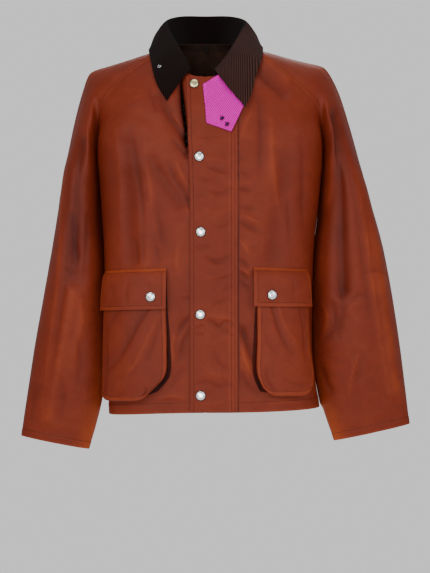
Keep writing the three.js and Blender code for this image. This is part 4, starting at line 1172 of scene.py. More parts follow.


# The right front falls away from the placket's free edge below the collar, and the depth of that
# trough paints it near black, as painted shade
PLACKET_GAP = dict(
    line=[(-64, -58), (-60, -84), (-55, -128), (-50, -180), (-45, -244)], width=6.5, height=-11.0
)
SLEEVE_FRONT_CREASES = {
    "right": [
        dict(
            line=[(-295, -172), (-300, -330), (-303, -440), (-325, -620), (-342, -755)],
            width=5,
            height=1.6,
        ),
        dict(
            line=[(-284, -175), (-287, -330), (-290, -450), (-312, -620), (-328, -750)],
            width=9,
            height=-1.6,
        ),
        dict(line=[(-262, -268), (-252, -276), (-238, -280)], width=4, height=-1.4),
        dict(line=[(-247, -340), (-250, -410), (-256, -490)], width=9, height=-2.4),
        dict(line=[(-278, -340), (-270, -420), (-262, -480)], width=13, height=-2.0),
        dict(line=[(-300, -456), (-288, -462), (-277, -474)], width=4, height=-1.6),
        dict(line=[(-262, -500), (-258, -560), (-276, -640)], width=14, height=1.6),
        dict(line=[(-268, -590), (-262, -640), (-270, -700)], width=10, height=-1.6),
        dict(line=[(-300, -660), (-296, -720), (-304, -770)], width=9, height=-1.4),
        dict(line=[(-352, -680), (-362, -740), (-366, -780)], width=8, height=-1.5),
    ],
    "left": [
        dict(
            line=[(270, -190), (288, -250), (303, -338), (322, -478), (342, -612), (364, -735)],
            width=5,
            height=1.6,
        ),
        dict(
            line=[(258, -205), (274, -270), (289, -350), (306, -480), (326, -612)],
            width=10,
            height=-1.5,
        ),
        dict(line=[(298, -622), (282, -676), (278, -716)], width=4, height=1.5),
        dict(line=[(306, -622), (292, -680), (288, -720)], width=7, height=-1.2),
        dict(line=[(240, -215), (242, -280), (234, -340)], width=8, height=1.6),
        dict(line=[(276, -530), (296, -512), (318, -518)], width=6, height=-1.7),
        dict(line=[(268, -552), (284, -528), (300, -524)], width=6, height=1.2),
        dict(line=[(220, -600), (234, -560), (222, -520)], width=6, height=1.9),
        dict(line=[(228, -606), (248, -566), (242, -520)], width=8, height=-2.2),
        dict(line=[(258, -470), (262, -540), (250, -600)], width=9, height=-2.0),
        dict(line=[(218, -640), (236, -690), (248, -716)], width=10, height=-2.2),
        dict(line=[(300, -470), (330, -462), (352, -468)], width=6, height=-1.2),
    ],
}
SLEEVE_BACK_CREASES = {
    "right": [
        dict(line=[(-240, -240), (-262, -330), (-270, -440)], width=12, height=-2.2),
        dict(line=[(-300, -300), (-306, -420), (-322, -560)], width=10, height=1.7),
        dict(line=[(-244, -470), (-272, -452), (-306, -462)], width=7, height=-2.4),
        dict(line=[(-238, -500), (-270, -488), (-300, -500)], width=8, height=1.8),
        dict(line=[(-250, -560), (-280, -620), (-300, -700)], width=12, height=-1.8),
        dict(line=[(-330, -640), (-340, -700), (-350, -760)], width=8, height=-1.4),
    ],
    "left": [
        dict(line=[(238, -240), (256, -330), (262, -430)], width=12, height=-2.0),
        dict(line=[(300, -290), (318, -410), (336, -540)], width=10, height=1.7),
        dict(line=[(236, -452), (262, -440), (300, -452)], width=7, height=-2.3),
        dict(line=[(240, -486), (270, -470), (310, -478)], width=7, height=1.6),
        dict(line=[(250, -560), (276, -640), (300, -720)], width=12, height=-1.8),
        dict(line=[(340, -620), (356, -690), (366, -740)], width=8, height=-1.4),
    ],
}
BACK_CREASES = [
    dict(line=[(-150, -60), (-120, -110), (-60, -140)], width=14, height=-2.2),
    dict(line=[(130, -56), (96, -108), (40, -136)], width=14, height=-2.0),
    dict(line=[(-196, -190), (-150, -280), (-128, -400)], width=14, height=-2.6),
    dict(line=[(184, -180), (146, -270), (118, -390)], width=15, height=-2.5),
    dict(line=[(-90, -240), (-84, -380), (-98, -520)], width=18, height=2.4),
    dict(line=[(70, -220), (78, -360), (64, -500)], width=18, height=2.2),
    dict(line=[(-40, -420), (-10, -436), (30, -424)], width=9, height=-1.7),
    dict(line=[(-30, -500), (6, -514), (50, -500)], width=9, height=-1.5),
    dict(line=[(-150, -470), (-120, -560), (-128, -660)], width=14, height=-2.2),
    dict(line=[(140, -460), (128, -570), (142, -670)], width=14, height=-2.0),
    dict(line=[(-186, -560), (-170, -640), (-176, -710)], width=10, height=1.6),
    dict(line=[(0, -560), (-14, -640), (6, -716)], width=14, height=-1.7),
]

# x over which each front comes clear of the placket, and the painted shadow beside the placket's seam
CLEAR_OF_PLACKET = dict(right=(-36, -42), left=(52, 58))
SEAM_SHADE = dict(x=53.4, width=1.7, tone=-0.7)

front_x = {side: panels["front_" + side]["points"][..., 0] for side in SIDES}
clear = {side: ease(front_x[side], *CLEAR_OF_PLACKET[side]) for side in SIDES}
dress_panel("front_right", [*RIGHT_FRONT_CREASES, PLACKET_GAP], clear["right"], (), 1.0)
dress_panel("front_left", LEFT_FRONT_CREASES, clear["left"], (), 2.0)
# Painted shadow: a dark line on the left front beside the placket's seam
from_shade = (front_x["left"] - SEAM_SHADE["x"]) / SEAM_SHADE["width"]
panels["front_left"]["tone"] += SEAM_SHADE["tone"] * np.exp(-(from_shade**2))
dress_panel("back", BACK_CREASES, 1, ("first", "last"), 3.0)
for side in SIDES:
    dress_panel("sleeve_front_" + side, SLEEVE_FRONT_CREASES[side], 1, ("first",), 4.0)
    dress_panel("sleeve_back_" + side, SLEEVE_BACK_CREASES[side], 1, ("first",), 5.0)

SIDE_GAP = 0.3  # what is left between a sleeve and the body where they press together
SIDE_BULGE_WIDTH = 20
SIDE_BULGE_MOST = 5.2  # how much of a gap is closed at most
PRESSED_TO = (9, 5.5)  # gaps over which a sleeve stops hanging clear


def press_sleeve_to_body(side):
    """Swells the side of the body and the sleeve's underarm seam until they nearly touch. It fades
    out where the sleeve hangs clear."""
    out = side_sign(side)
    below = slice(RAGLAN_ROWS, None)
    body, arm = (seams[side][name][below] for name in ("front", "sleeve_front"))

    def swelling(heights):
        sides = [np.interp(-heights, -line[:, 2], line[:, 0]) for line in (body, arm)]
        gap = out * (sides[1] - sides[0])
        return 0.5 * np.clip(gap - SIDE_GAP, 0, SIDE_BULGE_MOST) * ease(gap, *PRESSED_TO)

    moves = {"front_" + side: (body, out), "back": (body, out)}
    moves.update({f"sleeve_{half}_{side}": (arm, -out) for half in ("front", "back")})
    for name, (line, direction) in moves.items():
        points = panels[name]["points"][below]
        from_seam = np.linalg.norm(points - line[:, None], axis=-1)
        shift = swelling(points[..., 2]) * np.exp(-((from_seam / SIDE_BULGE_WIDTH) ** 2))
        points[..., 0] += direction * shift


def paint_light_by_seams(side):
    """Paints light by the seams where sleeve and body meet, against the shade between them, and a
    painted highlight along the shoulder.
    """
    names = {"front_" + side: "front", "back": "back"}
    names.update({f"sleeve_{half}_{side}": "sleeve_" + half for half in ("front", "back")})
    for name, seam in names.items():
        sheet = panels[name]
        rows = np.arange(sheet["points"].shape[0])
        # worn here fades in the painted light by the seam, from above the underarm down
        worn = ease(rows, 0.72 * RAGLAN_ROWS, 1.1 * RAGLAN_ROWS)
        from_seam = np.linalg.norm(sheet["points"] - seams[side][seam][:, None], axis=-1)
        sheet["tone"] += 0.75 * worn[:, None] * np.exp(-((from_seam / 26) ** 2))
        if seam.startswith("sleeve"):
            run = run_across(sheet)
            from_ridge = run[:, -1:] - run
            # A painted highlight along the top of the shoulder
            shoulder = ease(rows, 0.85 * RAGLAN_ROWS, 0.35 * RAGLAN_ROWS)
            sheet["tone"] += 0.42 * shoulder[:, None] * np.exp(-((from_ridge / 34) ** 2))


for side in SIDES:
    press_sleeve_to_body(side)
    paint_light_by_seams(side)


# Finishes


def new_material(name):
    material = bpy.data.materials.new(name)
    material.use_nodes = True
    tree = material.node_tree
    return material, tree, tree.nodes["Principled BSDF"]


def add_node(tree, kind, **settings):
    node = tree.nodes.new(kind)
    for key, value in settings.items():
        setattr(node, key, value)
    return node


def object_noise(tree, scale, detail=3.0, roughness=0.55, distortion=0.0):
    place = add_node(tree, "ShaderNodeTexCoord")
    node = add_node(tree, "ShaderNodeTexNoise")
    node.inputs["Scale"].default_value = scale
    node.inputs["Detail"].default_value = detail
    node.inputs["Roughness"].default_value = roughness
    node.inputs["Distortion"].default_value = distortion
    tree.links.new(place.outputs["Object"], node.inputs["Vector"])
    return node.outputs["Fac"]


def ramp(tree, factor, stops):
    node = add_node(tree, "ShaderNodeValToRGB")
    elements = node.color_ramp.elements
    while len(elements) < len(stops):
        elements.new(0.5)
    for element, (place, colour) in zip(elements, stops):
        element.position = place
        element.color = (*colour, 1.0)
    tree.links.new(factor, node.inputs["Fac"])
    return node.outputs["Color"]


def arithmetic(tree, operation, a, b, clamp=False):
    node = add_node(tree, "ShaderNodeMath", operation=operation, use_clamp=clamp)
    for socket, value in zip(node.inputs, (a, b)):
        if isinstance(value, (int, float)):
            socket.default_value = value
        else:
            tree.links.new(value, socket)
    return node.outputs["Value"]


def weighted_sum(tree, parts, base=0.0):
    """Adds up outputs times their weights, and keeps the sum from 0 to 1."""
    total = None
    for output, weight in parts:
        part = arithmetic(tree, "MULTIPLY", output, weight)
        total = part if total is None else arithmetic(tree, "ADD", total, part)
    return arithmetic(tree, "ADD", total, base, clamp=True)


def bumped(tree, shader, layers):
    """Joins bump heights, each with its depth in metres."""
    normal = None
    for height, depth in layers:
        bump = add_node(tree, "ShaderNodeBump")
        bump.inputs["Strength"].default_value = 1.0
        bump.inputs["Distance"].default_value = depth
        tree.links.new(height, bump.inputs["Height"])
        if normal is not None:
            tree.links.new(normal, bump.inputs["Normal"])
        normal = bump.outputs["Normal"]
    tree.links.new(normal, shader.inputs["Normal"])


def waxed_cotton(name, deep, middle, worn):
    """Cloth that is painted lighter where it is raised, as painted light, and is lighter where it is
    rubbed, mottled by its wax, and painted almost black in its deepest folds, as painted shade."""
    material, tree, shader = new_material(name)
    tone = add_node(tree, "ShaderNodeAttribute", attribute_name="tone").outputs["Fac"]
    patches = object_noise(tree, 7.0, 4.0, 0.6, 0.6)
    mottle = object_noise(tree, 38.0, 5.0, 0.62, 0.8)
    level = weighted_sum(tree, [(patches, 0.3), (mottle, 0.17), (tone, 0.5)], 0.25)
    # Painted shade: a near-black colour for the deepest troughs and the gap by the placket
    shaded = tuple(0.05 * part for part in deep)
    # The worn colour is reached by rubbed wear and also by painted light on raised cloth, by the
    # seams and on the shoulder
    colour = ramp(tree, level, [(0.0, shaded), (0.12, deep), (0.5, middle), (0.92, worn)])
    tree.links.new(colour, shader.inputs["Base Color"])
    shader.inputs["Roughness"].default_value = 0.52
    shader.inputs["Specular IOR Level"].default_value = 0.155
    weave = object_noise(tree, 1500.0, 2.0, 0.6)
    grain = object_noise(tree, 260.0, 3.0, 0.6)
    dents = object_noise(tree, 34.0, 3.0, 0.5, 0.6)
    bumped(tree, shader, [(weave, 0.00014), (grain, 0.0003), (dents, 0.0011)])
    return material


def corduroy(name, groove, ridge, brushed_up, bump_depth, sheen):
    """Pile cloth whose wales follow its wale attribute, one for each whole number.
    The grooves between the wales are painted near black, as painted shade.
    """
    material, tree, shader = new_material(name)
    wale = add_node(tree, "ShaderNodeAttribute", attribute_name="wale").outputs["Fac"]
    wave = arithmetic(tree, "SINE", arithmetic(tree, "MULTIPLY", wale, 2 * np.pi), 0.0)
    lobe = arithmetic(tree, "ADD", arithmetic(tree, "MULTIPLY", wave, 0.5), 0.5)
    lobe = arithmetic(tree, "POWER", lobe, 0.55)
    nap = object_noise(tree, 620.0, 3.0, 0.7)
    brushed = object_noise(tree, 22.0, 3.0, 0.6)
    tone = add_node(tree, "ShaderNodeAttribute", attribute_name="tone").outputs["Fac"]
    level = weighted_sum(tree, [(lobe, 0.42), (nap, 0.12), (brushed, 0.14), (tone, 1.0)])
    colour = ramp(tree, level, [(0.12, groove), (0.62, ridge), (0.95, brushed_up)])
    tree.links.new(colour, shader.inputs["Base Color"])
    shader.inputs["Roughness"].default_value = 0.92
    shader.inputs["Specular IOR Level"].default_value = 0.08
    shader.inputs["Sheen Weight"].default_value = sheen
    shader.inputs["Sheen Roughness"].default_value = 0.5
    bumped(tree, shader, [(nap, 0.0003), (lobe, bump_depth)])
    return material


def plain_cloth(name, dark, light, roughness=0.85):
    material, tree, shader = new_material(name)
    level = object_noise(tree, 60.0, 4.0, 0.6)
    tree.links.new(ramp(tree, level, [(0.3, dark), (0.7, light)]), shader.inputs["Base Color"])
    shader.inputs["Roughness"].default_value = roughness
    shader.inputs["Specular IOR Level"].default_value = 0.1
    bumped(tree, shader, [(object_noise(tree, 900.0, 2.0), 0.0002)])
    return material


def metal(name, colour, worn, roughness):
    material, tree, shader = new_material(name)
    level = object_noise(tree, 240.0, 3.0, 0.6)
    tree.links.new(ramp(tree, level, [(0.35, worn), (0.62, colour)]), shader.inputs["Base Color"])
    shader.inputs["Metallic"].default_value = 1.0
    shader.inputs["Roughness"].default_value = roughness
    return material


# worn serves both rubbed wear and painted light; below deep lies a near-black painted shade
rust_cotton = waxed_cotton(
    "rust_waxed_cotton",
    deep=(0.06, 0.0052, 0.0018),
    middle=(0.155, 0.0185, 0.006),
    worn=(0.32, 0.052, 0.012),
)
# The inside of the cloth is painted much darker than the outside, as painted shade
inner_cotton_shaded = plain_cloth("cotton_inside_painted_shade", (0.02, 0.009, 0.0055), (0.034, 0.015, 0.009))
brown_corduroy = corduroy(
    "brown_corduroy",
    groove=(0.0007, 0.0003, 0.0003),
    ridge=(0.0115, 0.0042, 0.0034),
    brushed_up=(0.058, 0.023, 0.018),
    bump_depth=0.0009,
    sheen=0.02,
)
magenta_corduroy = corduroy(
    "magenta_corduroy",
    groove=(0.36, 0.001, 0.20),
    ridge=(0.96, 0.006, 0.57),
    brushed_up=(0.97, 0.02, 0.60),
    bump_depth=0.0011,
    sheen=0.0,
)
brown_strip = plain_cloth("brown_neck_strip", (0.012, 0.006, 0.004), (0.022, 0.011, 0.007))
loop_tape = plain_cloth("dark_loop_tape", (0.008, 0.006, 0.006), (0.016, 0.012, 0.012))
sewing_thread = plain_cloth("brown_thread", (0.022, 0.004, 0.002), (0.045, 0.008, 0.0035), 0.7)
dark_thread = plain_cloth("dark_thread", (0.012, 0.008, 0.02), (0.025, 0.014, 0.03), 0.7)
bright_metal = metal("bright_steel", (0.93, 0.94, 0.95), (0.76, 0.77, 0.79), 0.22)
snap_rim_shadow = metal("painted_shadow_snap_rim", (0.035, 0.035, 0.038), (0.02, 0.02, 0.022), 0.45)
brass_metal = metal("bright_brass", (0.86, 0.74, 0.42), (0.68, 0.55, 0.28), 0.28)


# Pieces


def only(piece):
    """Makes a piece the only one selected."""
    bpy.ops.object.select_all(action="DESELECT")
    piece.select_set(True)
    bpy.context.view_layer.objects.active = piece


def finish_piece(piece, node, crease_angle=None):
    """Smooths a piece, and tells the frame what it rides on and what it replaces."""
    only(piece)
    if crease_angle is None:
        bpy.ops.object.shade_smooth()
    else:
        bpy.ops.object.shade_smooth_by_angle(angle=np.radians(crease_angle))
    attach(piece, "root")
    if node:
        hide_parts(node)


def quads_of(rows, columns, turned):
    index = np.arange(rows * columns).reshape(rows, columns)
    a, b, d, e = index[:-1, :-1], index[:-1, 1:], index[1:, :-1], index[1:, 1:]
    order = (a, b, e, d) if not turned else (a, d, e, b)
    return np.stack(order, -1).reshape(-1, 4)


CLOTH_CREASE_ANGLE = 50  # degrees, past which an edge is left sharp


def cloth_piece(node, sheet, wall, outside, inside, extra=None):
    """A sheet made a shell: its outer side, an inner side one wall behind it, and its edges."""
    name = node + "_cloth"
    rows, columns = sheet["points"].shape[:2]
    points = sheet["points"].reshape(-1, 3) * MM
    faces = quads_of(rows, columns, sheet["turned"]).tolist()
    tones = sheet["tone"].ravel()
    if extra:
        points = np.concatenate([points, extra["points"] * MM])
        faces += extra["faces"]
        tones = np.concatenate([tones, extra["tones"]])
    mesh = bpy.data.meshes.new(name)
    mesh.from_pydata(points.tolist(), [], faces)
    piece = bpy.data.objects.new(name, mesh)
    bpy.context.scene.collection.objects.link(piece)
    mesh.attributes.new("tone", "FLOAT", "POINT").data.foreach_set("value", tones)
    if "wale" in sheet:
        wale = mesh.attributes.new("wale", "FLOAT", "POINT")
        wale.data.foreach_set("value", (sheet["wale"] / WALE_PITCH).ravel())
    mesh.materials.append(outside)
    mesh.materials.append(inside)
    only(piece)
    solidify = piece.modifiers.new("wall", "SOLIDIFY")
    solidify.thickness = wall * MM
    solidify.offset = -1
    solidify.material_offset = 1
    solidify.material_offset_rim = 1 if node == "back" else 0  # its neck edge shows from inside
    solidify.use_quality_normals = True
    bpy.ops.object.modifier_apply(modifier=solidify.name)
    finish_piece(piece, node, CLOTH_CREASE_ANGLE)
    return piece


def stitch_template():
    """Points and faces of one stitch, 1 long and thick, that lies along X and narrows at its ends."""
    bpy.ops.object.select_all(action="DESELECT")
    bpy.ops.mesh.primitive_cylinder_add(vertices=6, radius=0.5, depth=1)
    stitch = bpy.context.object
    stitch.rotation_euler = (0, np.pi / 2, 0)
    bpy.ops.object.transform_apply(location=False, rotation=True, scale=False)
    bpy.ops.object.mode_set(mode="EDIT")
    bpy.ops.mesh.select_all(action="SELECT")
    bpy.ops.mesh.subdivide(number_cuts=1)
    bpy.ops.object.mode_set(mode="OBJECT")
    points = np.array([v.co[:] for v in stitch.data.vertices])
    ends = np.abs(points[:, 0]) > 0.45
    points[ends, 1:] *= 0.6
    faces = [list(polygon.vertices) for polygon in stitch.data.polygons]
    mesh = stitch.data
    bpy.data.objects.remove(stitch)
    bpy.data.meshes.remove(mesh)
    return points, faces


STITCH = stitch_template()
THREAD_FLATNESS = 0.7  # how high a stitch is, as a share of its width


def stitches(name, lines, thread, pitch=4.2, length=3.0, thick=0.75, sunk=0.05):
    """Rows of stitches: each line is points and normals on the cloth."""
    shape, shape_faces = STITCH
    points, faces = [], []
    for line, normals in lines:
        line, normals = np.array(line, float), np.array(normals, float)
        run = np.concatenate([[0], np.cumsum(np.linalg.norm(np.diff(line, axis=0), axis=1))])
        for middle in np.arange(pitch / 2, run[-1], pitch):
            spot = along_line(middle, run, line)
            up = along_line(middle, run, normals)
            along = along_line(middle + length / 2, run, line)
            along -= along_line(middle - length / 2, run, line)
            along /= np.linalg.norm(along)
            across = np.cross(up, along)
            across /= np.linalg.norm(across)
            up = np.cross(along, across)
            axes = np.stack([along * length, across * thick, up * thick * THREAD_FLATNESS])
            first = len(points) * len(shape)
            points.append(spot + up * (thick * THREAD_FLATNESS / 2 - sunk) + shape @ axes)
            faces += [[i + first for i in face] for face in shape_faces]
    mesh = bpy.data.meshes.new(name)
    mesh.from_pydata((np.concatenate(points) * MM).tolist(), [], faces)
    mesh.materials.append(thread)
    piece = bpy.data.objects.new(name, mesh)
    bpy.context.scene.collection.objects.link(piece)
    finish_piece(piece, None)
    return piece


def row_line(sheet, from_end, columns=None):
    """A line across a sheet at a distance from its last row."""
    run = run_down(sheet)
    left = run[-1] - from_end
    chosen = range(sheet["points"].shape[1]) if columns is None else columns
    return [
        [along_line(left[c], run[:, c], sheet[part][:, c]) for c in chosen]
        for part in ("points", "normals")
    ]


def column_line(sheet, distance, from_last=False, rows=None):
    """A line down a sheet at a distance from its first or last column."""
    run = run_across(sheet)
    chosen = range(sheet["points"].shape[0]) if rows is None else rows
    reach = run[:, -1] - distance if from_last else np.full(len(run), distance)
    return [
        [along_line(reach[r], run[r], sheet[part][r]) for r in chosen]
        for part in ("points", "normals")
    ]


def placket_line(across):
    """A line down the placket, where across gives its x from the x of the free edge."""
    x = placket["points"][..., 0]
    return [
        [along_line(across(x[r, 0]), x[r], placket[part][r]) for r in range(PLACKET_ROWS)]
        for part in ("points", "normals")
    ]


CAP_SIDE = 0.5  # the upright side of a cap, as a share of its height
# How far in each ring of a cap lies from the last, as a share of its radius, and how much higher,
# as a share of its height
CAP_STEPS = [(0.09, 0.28), (0.05, -0.24), (0.06, 0.26), (0.13, 0.22), (0.18, 0.14), (0.2, 0.06)]
# The dark rim is painted shadow round the edge of the cap
RIM_FROM = 0.86  # the dark rim starts at this share of the radius


def model_cap(name, size):
    """A domed metal cap on the ground, facing up, in the middle of its turned rim, which is painted
    dark as painted shadow.
    """
    radius, height = size["radius"], size["height"]
    side_height = height * CAP_SIDE
    bpy.ops.object.select_all(action="DESELECT")
    bpy.ops.mesh.primitive_cylinder_add(vertices=48, radius=radius, depth=side_height)
    cap = bpy.context.object
    cap.name = name
    cap.data.name = name
    cap.location = (0, 0, side_height / 2)
    bpy.ops.object.transform_apply()
    for polygon in cap.data.polygons:
        polygon.select = polygon.normal.z > 0.9
    for edge in cap.data.edges:
        edge.select = False
    for vertex in cap.data.vertices:
        vertex.select = vertex.co.z > 0.8 * side_height
    bpy.ops.object.mode_set(mode="EDIT")
    bpy.ops.mesh.select_mode(type="FACE")
    for inset, rise in CAP_STEPS:
        bpy.ops.mesh.inset(thickness=inset * radius, depth=0)
        bpy.ops.transform.translate(value=(0, 0, rise * height))
    bpy.ops.object.mode_set(mode="OBJECT")
    cap.data.materials.append(bright_metal)
    cap.data.materials.append(snap_rim_shadow)
    for polygon in cap.data.polygons:
        out = np.hypot(*np.mean([cap.data.vertices[i].co[:2] for i in polygon.vertices], axis=0))
        # The outer faces take the rim's painted shadow
        polygon.material_index = int(out > RIM_FROM * radius)
    only(cap)
    smoothing = cap.modifiers.new("rounding", "SUBSURF")
    smoothing.levels = 1
    smoothing.render_levels = 1
    bpy.ops.object.modifier_apply(modifier=smoothing.name)
    cap.data.transform(Matrix.Scale(MM, 4))
    return cap


def place_copy(template, node, seat, outward, foot, material, slot):
    """A copy of a modelled cap, its own mesh set on its seat and facing outward."""
    piece = template.copy()
    piece.data = template.data.copy()
    piece.name = node + "_metal"
    piece.data.name = node + "_metal"
    bpy.context.scene.collection.objects.link(piece)
    turn = Vector((0, 0, 1)).rotation_difference(Vector(outward)).to_matrix().to_4x4()
    place = Matrix.Translation(Vector((seat + outward * foot) * MM))
    piece.data.transform(place @ turn)
    piece.data.materials[0] = material
    finish_piece(piece, node)


def gusset_mesh(side):
    """The gusset of a pocket bag, as points and faces that follow on from those of its face."""
    sheet, spots, down = pockets[side]
    rim, rings = gusset_rings(side, sheet, spots, down)
    rows, columns = sheet["points"].shape[:2]
    previous = [r * columns + c for r, c in rim]
    points, faces = [], []
    for ring in rings:
        first = rows * columns + len(points)
        following = [first + i for i in range(len(rim))]
        points += ring.tolist()
        for i in range(len(rim) - 1):
            face = [previous[i], previous[i + 1], following[i + 1], following[i]]
            faces.append(face if side == "right" else face[::-1])
        previous = following
    tones = np.full(len(points), GUSSET_TONE)
    return {"points": np.array(points), "faces": faces, "tones": tones}


def cotton_piece(node, sheet, extra=None):
    return cloth_piece(node, sheet, CLOTH, rust_cotton, inner_cotton_shaded, extra)


panel_pieces = {name: cotton_piece(name, sheet) for name, sheet in panels.items()}
collar_piece = cloth_piece("collar", collar, CORD, brown_corduroy, brown_corduroy)
placket_piece = cotton_piece("placket", placket)
tab_piece = cloth_piece(
    "throat_tab", tab, CORD, magenta_corduroy, magenta_corduroy
)
strip_piece = cloth_piece(
    "neck_strip", strip, NECK_STRIP["wall"], brown_strip, brown_strip
)
loop_piece = cloth_piece("hanger_loop", loop, LOOP["wall"], loop_tape, loop_tape)

pocket_pieces, flap_pieces = {}, {}
for side in SIDES:
    pocket_pieces[side] = cotton_piece("pocket_" + side, pockets[side][0], gusset_mesh(side))
    flap_pieces[side] = cotton_piece("pocket_flap_" + side, flaps[side])

cap = model_cap("snap_cap", SNAP)
METALS = {"steel": (bright_metal, "steel_snap"), "brass": (brass_metal, "brass_snap")}
foot = SNAP["foot_on_placket"]
for number, snap in enumerate(SNAPS, 1):
    x, z = snap["x"], snap["z"]
    seat = over_front(x, z, placket_out(x))
    name = f"placket_snap_{number}"
    place_copy(cap, name, seat, front_at(x, z)[1], foot, *METALS[snap["metal"]])
foot = SNAP["foot_on_flap"]
for side in SIDES:
    snap = POCKETS[side]["snap"]
    seat, above = (along_front(side, snap["run"], snap["z"], out) for out in (FLAP_SNAP_OUT, 20))
    outward = (above - seat) / np.linalg.norm(above - seat)
    place_copy(cap, "flap_snap_" + side, seat, outward, foot, *METALS["steel"])
bpy.data.objects.remove(cap)

eyelet_seat, eyelet_out = seen_from_front(surface_tree([collar]), EYELET["x"], EYELET["z"])
bpy.ops.object.select_all(action="DESELECT")
bpy.ops.mesh.primitive_torus_add(
    major_segments=32,
    minor_segments=12,
    major_radius=(EYELET["radius"] - EYELET["ring"]) * MM,
    minor_radius=EYELET["ring"] * MM,
)
ring = bpy.context.object
ring.data.materials.append(bright_metal)
place_copy(ring, "collar_eyelet", eyelet_seat, eyelet_out, EYELET["foot"], *METALS["steel"])
bpy.data.objects.remove(ring)

# Sewing

SEAM_SEWING = (2.6, 8.2)  # two rows, from the seam on its lapped side

add_normals(all_sheets)
hem_sewing = stitches(
    "hem_stitching",
    [row_line(panels[name], HEM) for name in ("front_right", "front_left", "back")],
    sewing_thread,
)
cuffs = [panels[f"sleeve_{half}_{side}"] for half in ("front", "back") for side in SIDES]
cuff_sewing = stitches(
    "cuff_stitching", [row_line(sheet, CUFF) for sheet in cuffs], sewing_thread
)
raglan_lines = []
raglan = range(RAGLAN_ROWS + 1)
for side in SIDES:
    for distance in SEAM_SEWING:
        raglan_lines.append(column_line(panels["sleeve_front_" + side], distance, rows=raglan))
        raglan_lines.append(column_line(panels["back"], distance, side == "left", raglan))
        raglan_lines.append(column_line(panels["sleeve_back_" + side], distance))
seam_sewing = stitches("seam_stitching", raglan_lines, sewing_thread)
placket_sewing = stitches(
    "placket_stitching",
    [
        placket_line(lambda free: PLACKET_SEWING[0]),
        placket_line(lambda free: PLACKET_SEWING[1]),
        placket_line(lambda free: free + PLACKET_EDGE_SEWING),
    ],
    sewing_thread,
)
pocket_lines = []
for side in SIDES:
    bag = pockets[side][0]
    bag_rows = range(POCKET_ROWS - 5)
    pocket_lines += [
        column_line(bag, BAG_SEWING, rows=bag_rows),
        column_line(bag, BAG_SEWING, True, bag_rows),
        row_line(bag, BAG_SEWING, range(5, POCKET_COLUMNS - 5)),
    ]
    flap = flaps[side]
    flap_rows = range(3, FLAP_ROWS - 3)
    depth = run_down(flap)[-1].mean()
    pocket_lines += [
        column_line(flap, FLAP_SEWING, rows=flap_rows),
        column_line(flap, FLAP_SEWING, True, flap_rows),
        row_line(flap, FLAP_SEWING, range(5, FLAP_COLUMNS - 5)),
        row_line(flap, depth - FLAP_TOP_SEWING, range(1, FLAP_COLUMNS - 1)),
    ]
pocket_sewing = stitches("pocket_stitching", pocket_lines, sewing_thread)

CROSSES = [(22.5, -163), (32.5, -175)]  # x and z of their middles on the throat tab
CROSS_STROKES = [(4.2, 4.2), (4.2, -4.2), (5.2, 0.8), (0.8, 5.2)]  # halves of their threads
cross_lines = []
for x, z in CROSSES:
    for dx, dz in CROSS_STROKES:
        ends = [over_front(x + k * dx, z + k * dz, TAB_STAND_OFF + 0.1) for k in (-1, 1)]
        cross_lines.append((ends, [front_at(x, z)[1]] * 2))
cross_sewing = stitches(
    "tab_crosses", cross_lines, dark_thread, pitch=9.6, length=9.6, thick=2.2
)

# The floor, the light and the camera

FLOOR_HEIGHT = -1.62  # in metres, as all sizes from here on
BACKDROP_GREY = (0.845, 0.845, 0.845, 1)
ROOM_LIGHT = 0.38
CAMERA_PLACE = (0.008, -3.0, -0.493)
CAMERA_LENS = 91.94

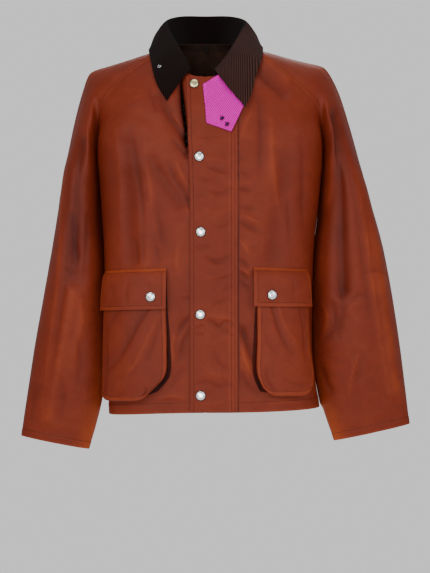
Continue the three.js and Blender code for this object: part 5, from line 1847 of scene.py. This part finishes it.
bpy.ops.object.select_all(action="DESELECT")
bpy.ops.mesh.primitive_circle_add(
    vertices=96, radius=16, fill_type="NGON", location=(0, 0, FLOOR_HEIGHT)
)
floor = bpy.context.object
floor.name = "studio_floor"
bpy.ops.object.transform_apply()
floor_material, _, floor_shader = new_material("pale_floor")
floor_shader.inputs["Base Color"].default_value = (0.0, 0.0, 0.0, 1)
floor_shader.inputs["Roughness"].default_value = 1.0
floor_shader.inputs["Specular IOR Level"].default_value = 0.0
floor_shader.inputs["Emission Color"].default_value = BACKDROP_GREY
floor_shader.inputs["Emission Strength"].default_value = 1.0
floor.data.materials.append(floor_material)


def soft_light(name, place, target, size, power, colour=(1.0, 1.0, 1.0)):
    light = bpy.data.lights.new(name, "AREA")
    light.shape = "SQUARE"
    light.size = size
    light.energy = power
    light.color = colour
    lamp = bpy.data.objects.new(name, light)
    bpy.context.scene.collection.objects.link(lamp)
    lamp.location = place
    lamp.rotation_euler = (Vector(target) - Vector(place)).to_track_quat("-Z", "Y").to_euler()


soft_light("key_light", (-1.7, -3.4, 0.9), (0, 0, -0.35), 1.8, 62, (1.0, 0.99, 0.97))
soft_light("fill_light", (2.3, -3.1, 0.6), (0, 0, -0.4), 2.2, 46, (0.98, 0.99, 1.0))
soft_light("front_light", (0.0, -4.0, -0.6), (0, 0, -0.5), 1.4, 44)
soft_light("top_light", (0.1, -0.5, 2.3), (0, 0, -0.2), 1.8, 20)
soft_light("back_light", (0.3, 2.6, 1.4), (0, 0, -0.3), 1.8, 24)

world = bpy.data.worlds.new("studio_world")
bpy.context.scene.world = world
world.use_nodes = True
tree = world.node_tree
room = tree.nodes["Background"]
room.inputs["Color"].default_value = (1.0, 1.0, 1.0, 1)
room.inputs["Strength"].default_value = ROOM_LIGHT
backdrop = tree.nodes.new("ShaderNodeBackground")
backdrop.inputs["Color"].default_value = BACKDROP_GREY
seen = tree.nodes.new("ShaderNodeLightPath")
choice = tree.nodes.new("ShaderNodeMixShader")
tree.links.new(seen.outputs["Is Camera Ray"], choice.inputs["Fac"])
tree.links.new(room.outputs["Background"], choice.inputs[1])
tree.links.new(backdrop.outputs["Background"], choice.inputs[2])
tree.links.new(choice.outputs["Shader"], tree.nodes["World Output"].inputs["Surface"])

camera_data = bpy.data.cameras.new("camera")
camera_data.sensor_fit = "VERTICAL"
camera_data.sensor_height = 36
camera_data.lens = CAMERA_LENS
camera = bpy.data.objects.new("camera", camera_data)
bpy.context.scene.collection.objects.link(camera)
camera.location = CAMERA_PLACE
camera.rotation_euler = (np.pi / 2, 0, 0)
bpy.context.scene.camera = camera
